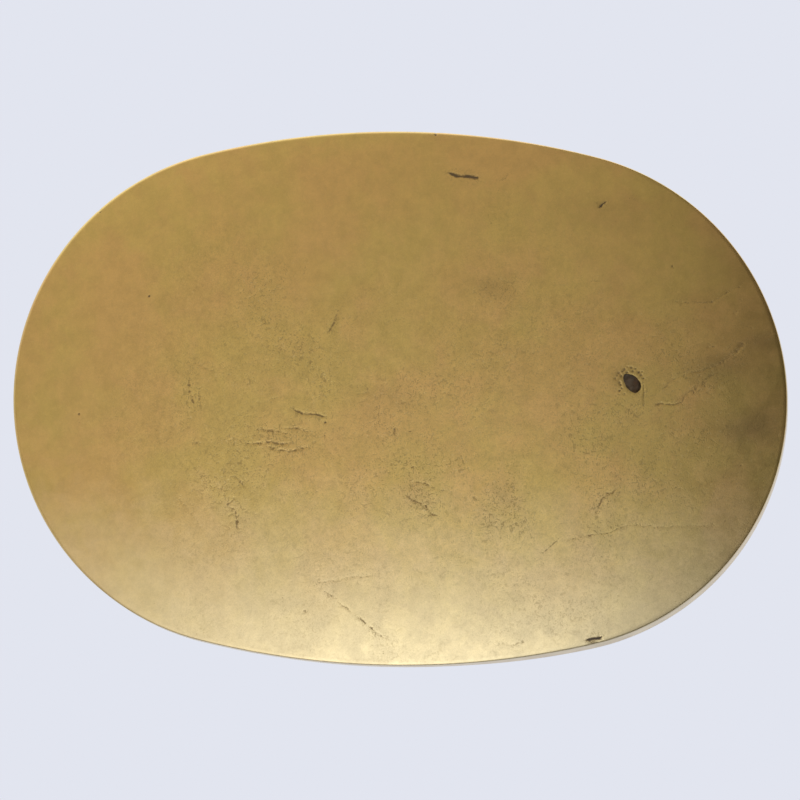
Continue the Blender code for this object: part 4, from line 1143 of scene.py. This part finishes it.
def plate_brass():
    """Rolled brass worn by the belt: brown and dirty near the lip and the fittings, partly painted shade
    there, dull gold and finely scratched elsewhere.
    """
    material, g, surface = new_material("back_brass_tarnished")
    place = g.millimetres()
    along = g.millimetres((0.05, 1, 1))
    broad = g.noise(place, 0.07, 4, 0.55)
    cloud = g.noise(place, 0.45, 5, 0.62)
    fine = g.noise(place, 2.6, 5, 0.7)
    grain = g.noise(place, 9.0, 3, 0.7)
    rubbing = g.noise(along, 3.2, 3, 0.6)
    scratch = g.span(g.noise(along, 6.5, 2, 0.5), 0.66, 0.72)
    dirt_and_painted_shade = g.layer("dirt_and_painted_shade")

    # Browner near the lip and the fittings: partly tarnish, partly painted shade.
    tarnish = g.span(broad, 0.36, 0.66, 0.05, 0.55) + g.span(cloud, 0.36, 0.70, 0.0, 0.42)
    tarnish = tarnish + g.span(fine, 0.40, 0.72, -0.08, 0.16) + dirt_and_painted_shade * 0.75
    tarnish = (tarnish - g.span(rubbing, 0.42, 0.70, 0.0, 0.26)).clamped()
    colour = g.mix(tarnish, BACK_GOLD, BACK_BROWN)
    # Darker near the lip and the fittings: partly dirt, partly painted shade.
    dirt = ((0.10 + dirt_and_painted_shade) * g.span(g.noise(place, 3.4, 4, 0.7), 0.44, 0.64)).clamped()
    colour = g.mix(dirt, colour, BACK_DIRT_AND_SHADE)
    green = g.span(g.noise(place, 0.9, 4, 0.7), 0.60, 0.70) * (dirt_and_painted_shade * 0.6)
    colour = g.mix(green, colour, VERDIGRIS)
    colour = g.mix((scratch * (0.75 - dirt_and_painted_shade)).clamped(), colour, BACK_SCRATCH)
    specks = g.span(g.noise(place, 4.5, 2, 0.5), 0.70, 0.74, 0.0, 0.8)
    g.put(surface.inputs["Base Color"], g.mix(specks, colour, BACK_DIRT_AND_SHADE))
    g.put(surface.inputs["Roughness"], g.span(cloud, 0.3, 0.7, 0.34, 0.46) + dirt * 0.25)
    g.put(surface.inputs["Metallic"], 1.0 - g.larger(dirt, green) * 0.6)
    rise = fine * 1.2 + grain * 0.5 + rubbing * 0.8 - scratch * 0.6 - specks
    g.put(surface.inputs["Normal"], g.bump(rise, 0.012 * M, 0.8))
    return material


def fitting_metal(name, light, dark, rubbed_to, rough, metallic=1.0, rust=None):
    """Old metal: tarnish and dirt in its hollows, and bright edges where it is handled."""
    material, g, surface = new_material(name)
    place = g.millimetres()
    broad = g.noise(place, 0.20, 4, 0.6)
    fine = g.noise(place, 1.6, 5, 0.68)
    grain = g.noise(place, 8.0, 4, 0.65)
    edge = g.out("ShaderNodeNewGeometry", "Pointiness") + (fine - 0.5) * 0.03
    tarnish = g.span(broad, 0.36, 0.66, 0.0, 0.45) + g.span(fine, 0.38, 0.70, 0.0, 0.35)
    tarnish = (tarnish + g.span(edge, 0.44, 0.495, 0.7, 0.0)).clamped()
    colour = g.mix(tarnish, light, dark)
    if rust is not None:
        colour = g.mix(g.span(g.noise(place, 0.9, 5, 0.7), 0.48, 0.64, 0.0, 0.75), colour, rust)
    colour = g.mix(g.span(edge, 0.515, 0.56, 0.0, 0.7), colour, rubbed_to)
    specks = g.span(g.noise(place, 4.0, 3, 0.6), 0.66, 0.72, 0.0, 0.75)
    g.put(surface.inputs["Base Color"], g.mix(specks, colour, dark))
    rougher = tarnish * 0.12 + specks * 0.2
    g.put(surface.inputs["Roughness"], g.span(fine, 0.3, 0.7, rough - 0.05, rough + 0.06) + rougher)
    g.put(surface.inputs["Metallic"], metallic)
    g.put(surface.inputs["Normal"], g.bump(fine + grain * 0.45 - specks * 0.8, 0.014 * M, 0.7))
    return material


# ---------------------------------------------------------------- studio

# Colours and strengths of light, and the angles in degrees between which each one comes or goes.
BACKDROP = (0.760, 0.783, 0.865)
BACK_LIGHT = (0.80, 0.82, 0.86)
BACK_RISE, BACK_GAIN = (10.0, 42.0), 0.85
BACK_SINK, BACK_LOSS = (-22.0, -42.0), 0.50
BACK_SLANT = 0.22
FRONT_LIGHT = (0.478, 0.436, 0.372)
UPPER_RISE, UPPER_GAIN = (6.0, 20.0), 0.22
LEFT_RISE, LEFT_GAIN = (-6.0, -24.0), 0.15
CORNER_GAIN = 0.16
LOW_LIGHT = (1.64, 1.83, 2.17)
LOW_RISE, LOW_LEFT_LOSS = (-1.0, -21.0), 0.68
LOW_SIDES = (54.0, 34.0)
RIGHT_FALL, RIGHT_LEAN, RIGHT_DARK = (11.5, 32.5), 0.30, 0.86
RIGHT_LOW_FALL, RIGHT_SHIFT = (17.0, 33.0), (-4.0, -20.0)
RIGHT_END = (112.0, 72.0)

CAMERA_LENS = 352.46
CAMERA_DISTANCE = 836.0
CAMERA_ROLL = 0.765
CAMERA_AIM = (0.212, 0.0, -0.205)

FLOOR_REACH, FLOOR_LEVEL = 6.0, -0.16   # in metres
FLOOR_GREY = (0.10, 0.10, 0.10)
FLOOR_GLOW = (0.665, 0.685, 0.765)


def make_world():
    """A pale room. The face mirrors it warm and dim, bright and cool low down, and dark at the right."""
    world = bpy.data.worlds.new("studio")
    bpy.context.scene.world = world
    world.use_nodes = True
    g = Graph(world.node_tree)
    world.node_tree.nodes.clear()
    direction = g.out("ShaderNodeTexCoord", "Generated")
    x, y, z = (g.part(direction, axis) for axis in "XYZ")
    front = g.span(y, 0.25, -0.35)
    sideways = g.math("DEGREES", g.math("ARCTAN2", x, y * -1.0))
    upward = g.math("DEGREES", g.math("ARCSINE", z))

    upper = g.span(upward, *UPPER_RISE)
    left = g.span(sideways, *LEFT_RISE)
    lift = 1.0 + (upper * UPPER_GAIN + left * LEFT_GAIN) + upper * left * CORNER_GAIN
    low = g.span(upward, *LOW_RISE) * (1.0 - left * LOW_LEFT_LOSS)
    low = low * g.span(g.math("ABSOLUTE", sideways), *LOW_SIDES)
    falls = zip(RIGHT_FALL, RIGHT_LOW_FALL)
    fall = [g.span(upward, *RIGHT_SHIFT, level, lowered) for level, lowered in falls]
    right = g.span(sideways - upward * RIGHT_LEAN, *fall) * g.span(sideways, *RIGHT_END)
    keep = 1.0 - right * RIGHT_DARK
    slant = g.span(x, -0.5, 0.8) * (g.span(y, 0.2, 0.7) * BACK_SLANT)
    rear = 1.0 + g.span(upward, *BACK_RISE) * BACK_GAIN - (g.span(upward, *BACK_SINK) * BACK_LOSS + slant)

    warm = g.dimmed(FRONT_LIGHT, lift * keep)
    cool = g.dimmed(LOW_LIGHT, low * keep)
    back = g.dimmed(BACK_LIGHT, rear * keep)
    mirrored = g.mix(front, back, g.mix(1.0, warm, cool, "ADD"))
    background = g.add("ShaderNodeBackground")
    seen = g.mix(g.out("ShaderNodeLightPath", "Is Camera Ray"), mirrored, BACKDROP)
    g.put(background.inputs["Color"], seen)
    g.put(g.add("ShaderNodeOutputWorld").inputs["Surface"], Value(g, background.outputs[0]))


def make_camera():
    """A long lens, a little to the right of the face and below it."""
    camera = bpy.data.objects.new("camera", bpy.data.cameras.new("camera"))
    bpy.context.scene.collection.objects.link(camera)
    bpy.context.scene.camera = camera
    camera.data.lens = CAMERA_LENS
    camera.data.clip_start, camera.data.clip_end = 0.01, 50
    right, below = math.radians(CAMERA_RIGHT), math.radians(CAMERA_BELOW)
    away = Vector((math.sin(right) * math.cos(below), -math.cos(right) * math.cos(below), -math.sin(below)))
    camera.location = Vector(CAMERA_AIM) * M + away * CAMERA_DISTANCE * M
    camera.rotation_mode = "QUATERNION"
    roll = Matrix.Rotation(math.radians(CAMERA_ROLL), 4, "Z").to_quaternion()
    camera.rotation_quaternion = (-away).to_track_quat("-Z", "Y") @ roll


def make_floor():
    """A pale floor, well below, in the backdrop's colour, which the metal does not mirror."""
    around = ((-1, -1), (1, -1), (1, 1), (-1, 1))
    corners = [(x * FLOOR_REACH, y * FLOOR_REACH, FLOOR_LEVEL) for x, y in around]
    mesh = bpy.data.meshes.new("floor")
    mesh.from_pydata(corners, [], [(0, 1, 2, 3)])
    material, g, surface = new_material("pale_floor")
    g.put(surface.inputs["Base Color"], FLOOR_GREY)
    g.put(surface.inputs["Roughness"], 0.9)
    g.put(surface.inputs["Emission Color"], FLOOR_GLOW)
    g.put(surface.inputs["Emission Strength"], 1.0)
    mesh.materials.append(material)
    floor = bpy.data.objects.new("floor", mesh)
    bpy.context.scene.collection.objects.link(floor)
    floor.visible_glossy = False
    floor.visible_diffuse = False


# ---------------------------------------------------------------- the scene

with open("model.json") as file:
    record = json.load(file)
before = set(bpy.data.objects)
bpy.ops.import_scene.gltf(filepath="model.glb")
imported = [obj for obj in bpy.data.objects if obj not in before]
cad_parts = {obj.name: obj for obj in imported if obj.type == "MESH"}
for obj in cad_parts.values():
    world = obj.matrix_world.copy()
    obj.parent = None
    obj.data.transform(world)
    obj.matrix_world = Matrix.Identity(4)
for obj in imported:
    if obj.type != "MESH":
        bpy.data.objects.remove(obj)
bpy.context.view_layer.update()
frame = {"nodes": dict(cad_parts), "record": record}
HALF_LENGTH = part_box("face_shell")[1].x / M
HALF_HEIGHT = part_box("face_shell")[1].z / M
SIDE_RADIUS = HALF_LENGTH**2 + HALF_HEIGHT**2 - 2 * HALF_LENGTH * END_RADIUS
SIDE_RADIUS /= 2 * (HALF_HEIGHT - END_RADIUS)
SIDE_HALF_ANGLE = math.atan2(HALF_LENGTH - END_RADIUS, SIDE_RADIUS - HALF_HEIGHT)

make_world()
make_floor()
make_camera()
bpy.context.scene.view_settings.view_transform = "Standard"

shell = make_face_shell(face_brass())
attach(shell, "buckle")
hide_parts("face_shell")

back_brass = plate_brass()
fitting_brass = fitting_metal(
    "fitting_brass_rubbed",
    light=(0.60, 0.435, 0.185),
    dark=(0.25, 0.165, 0.070),
    rubbed_to=(0.80, 0.64, 0.34),
    rough=0.32,
)
dark_steel = fitting_metal(
    "dark_steel_rusted",
    light=(0.175, 0.130, 0.088),
    dark=(0.070, 0.048, 0.030),
    rubbed_to=(0.28, 0.25, 0.215),
    rough=0.44,
    metallic=0.9,
    rust=(0.13, 0.065, 0.030),
)

pieces = [
    (make_back_plate(back_brass), "back_plate", "buckle", "back_brass"),
    (make_bracket(fitting_brass), "bail_bracket", "buckle", "fitting_brass"),
    (make_bail(fitting_brass), "bail", "loop", "fitting_brass"),
    (make_pin(dark_steel), "hinge_pin", "buckle", "dark_steel"),
    (make_pin_washer("upper", 1, fitting_brass), "pin_washer_upper", "buckle", "fitting_brass"),
    (make_pin_washer("lower", -1, fitting_brass), "pin_washer_lower", "buckle", "fitting_brass"),
    (make_hook(dark_steel), "hook", "buckle", "dark_steel"),
    (make_hook_washer(fitting_brass), "hook_washer", "buckle", "fitting_brass"),
]
for number, z in enumerate(RIVET_PLACES, 1):
    rivet = make_rivet(number, z, fitting_brass)
    pieces.append((rivet, f"bracket_rivet_{number}", "buckle", "fitting_brass"))
for piece, node, body, finish in pieces:
    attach(piece, body)
    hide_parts(node)

# The CAD nodes that the pieces stand for keep the same finishes.
finishes = {"face_brass": shell.data.materials[0], "back_brass": back_brass}
finishes.update({"fitting_brass": fitting_brass, "dark_steel": dark_steel})
slots = {part["node"]: part["material_slot"] for part in frame["record"]["subparts"]}
for name, node in frame["nodes"].items():
    node.data.materials.clear()
    node.data.materials.append(finishes[slots[name]])
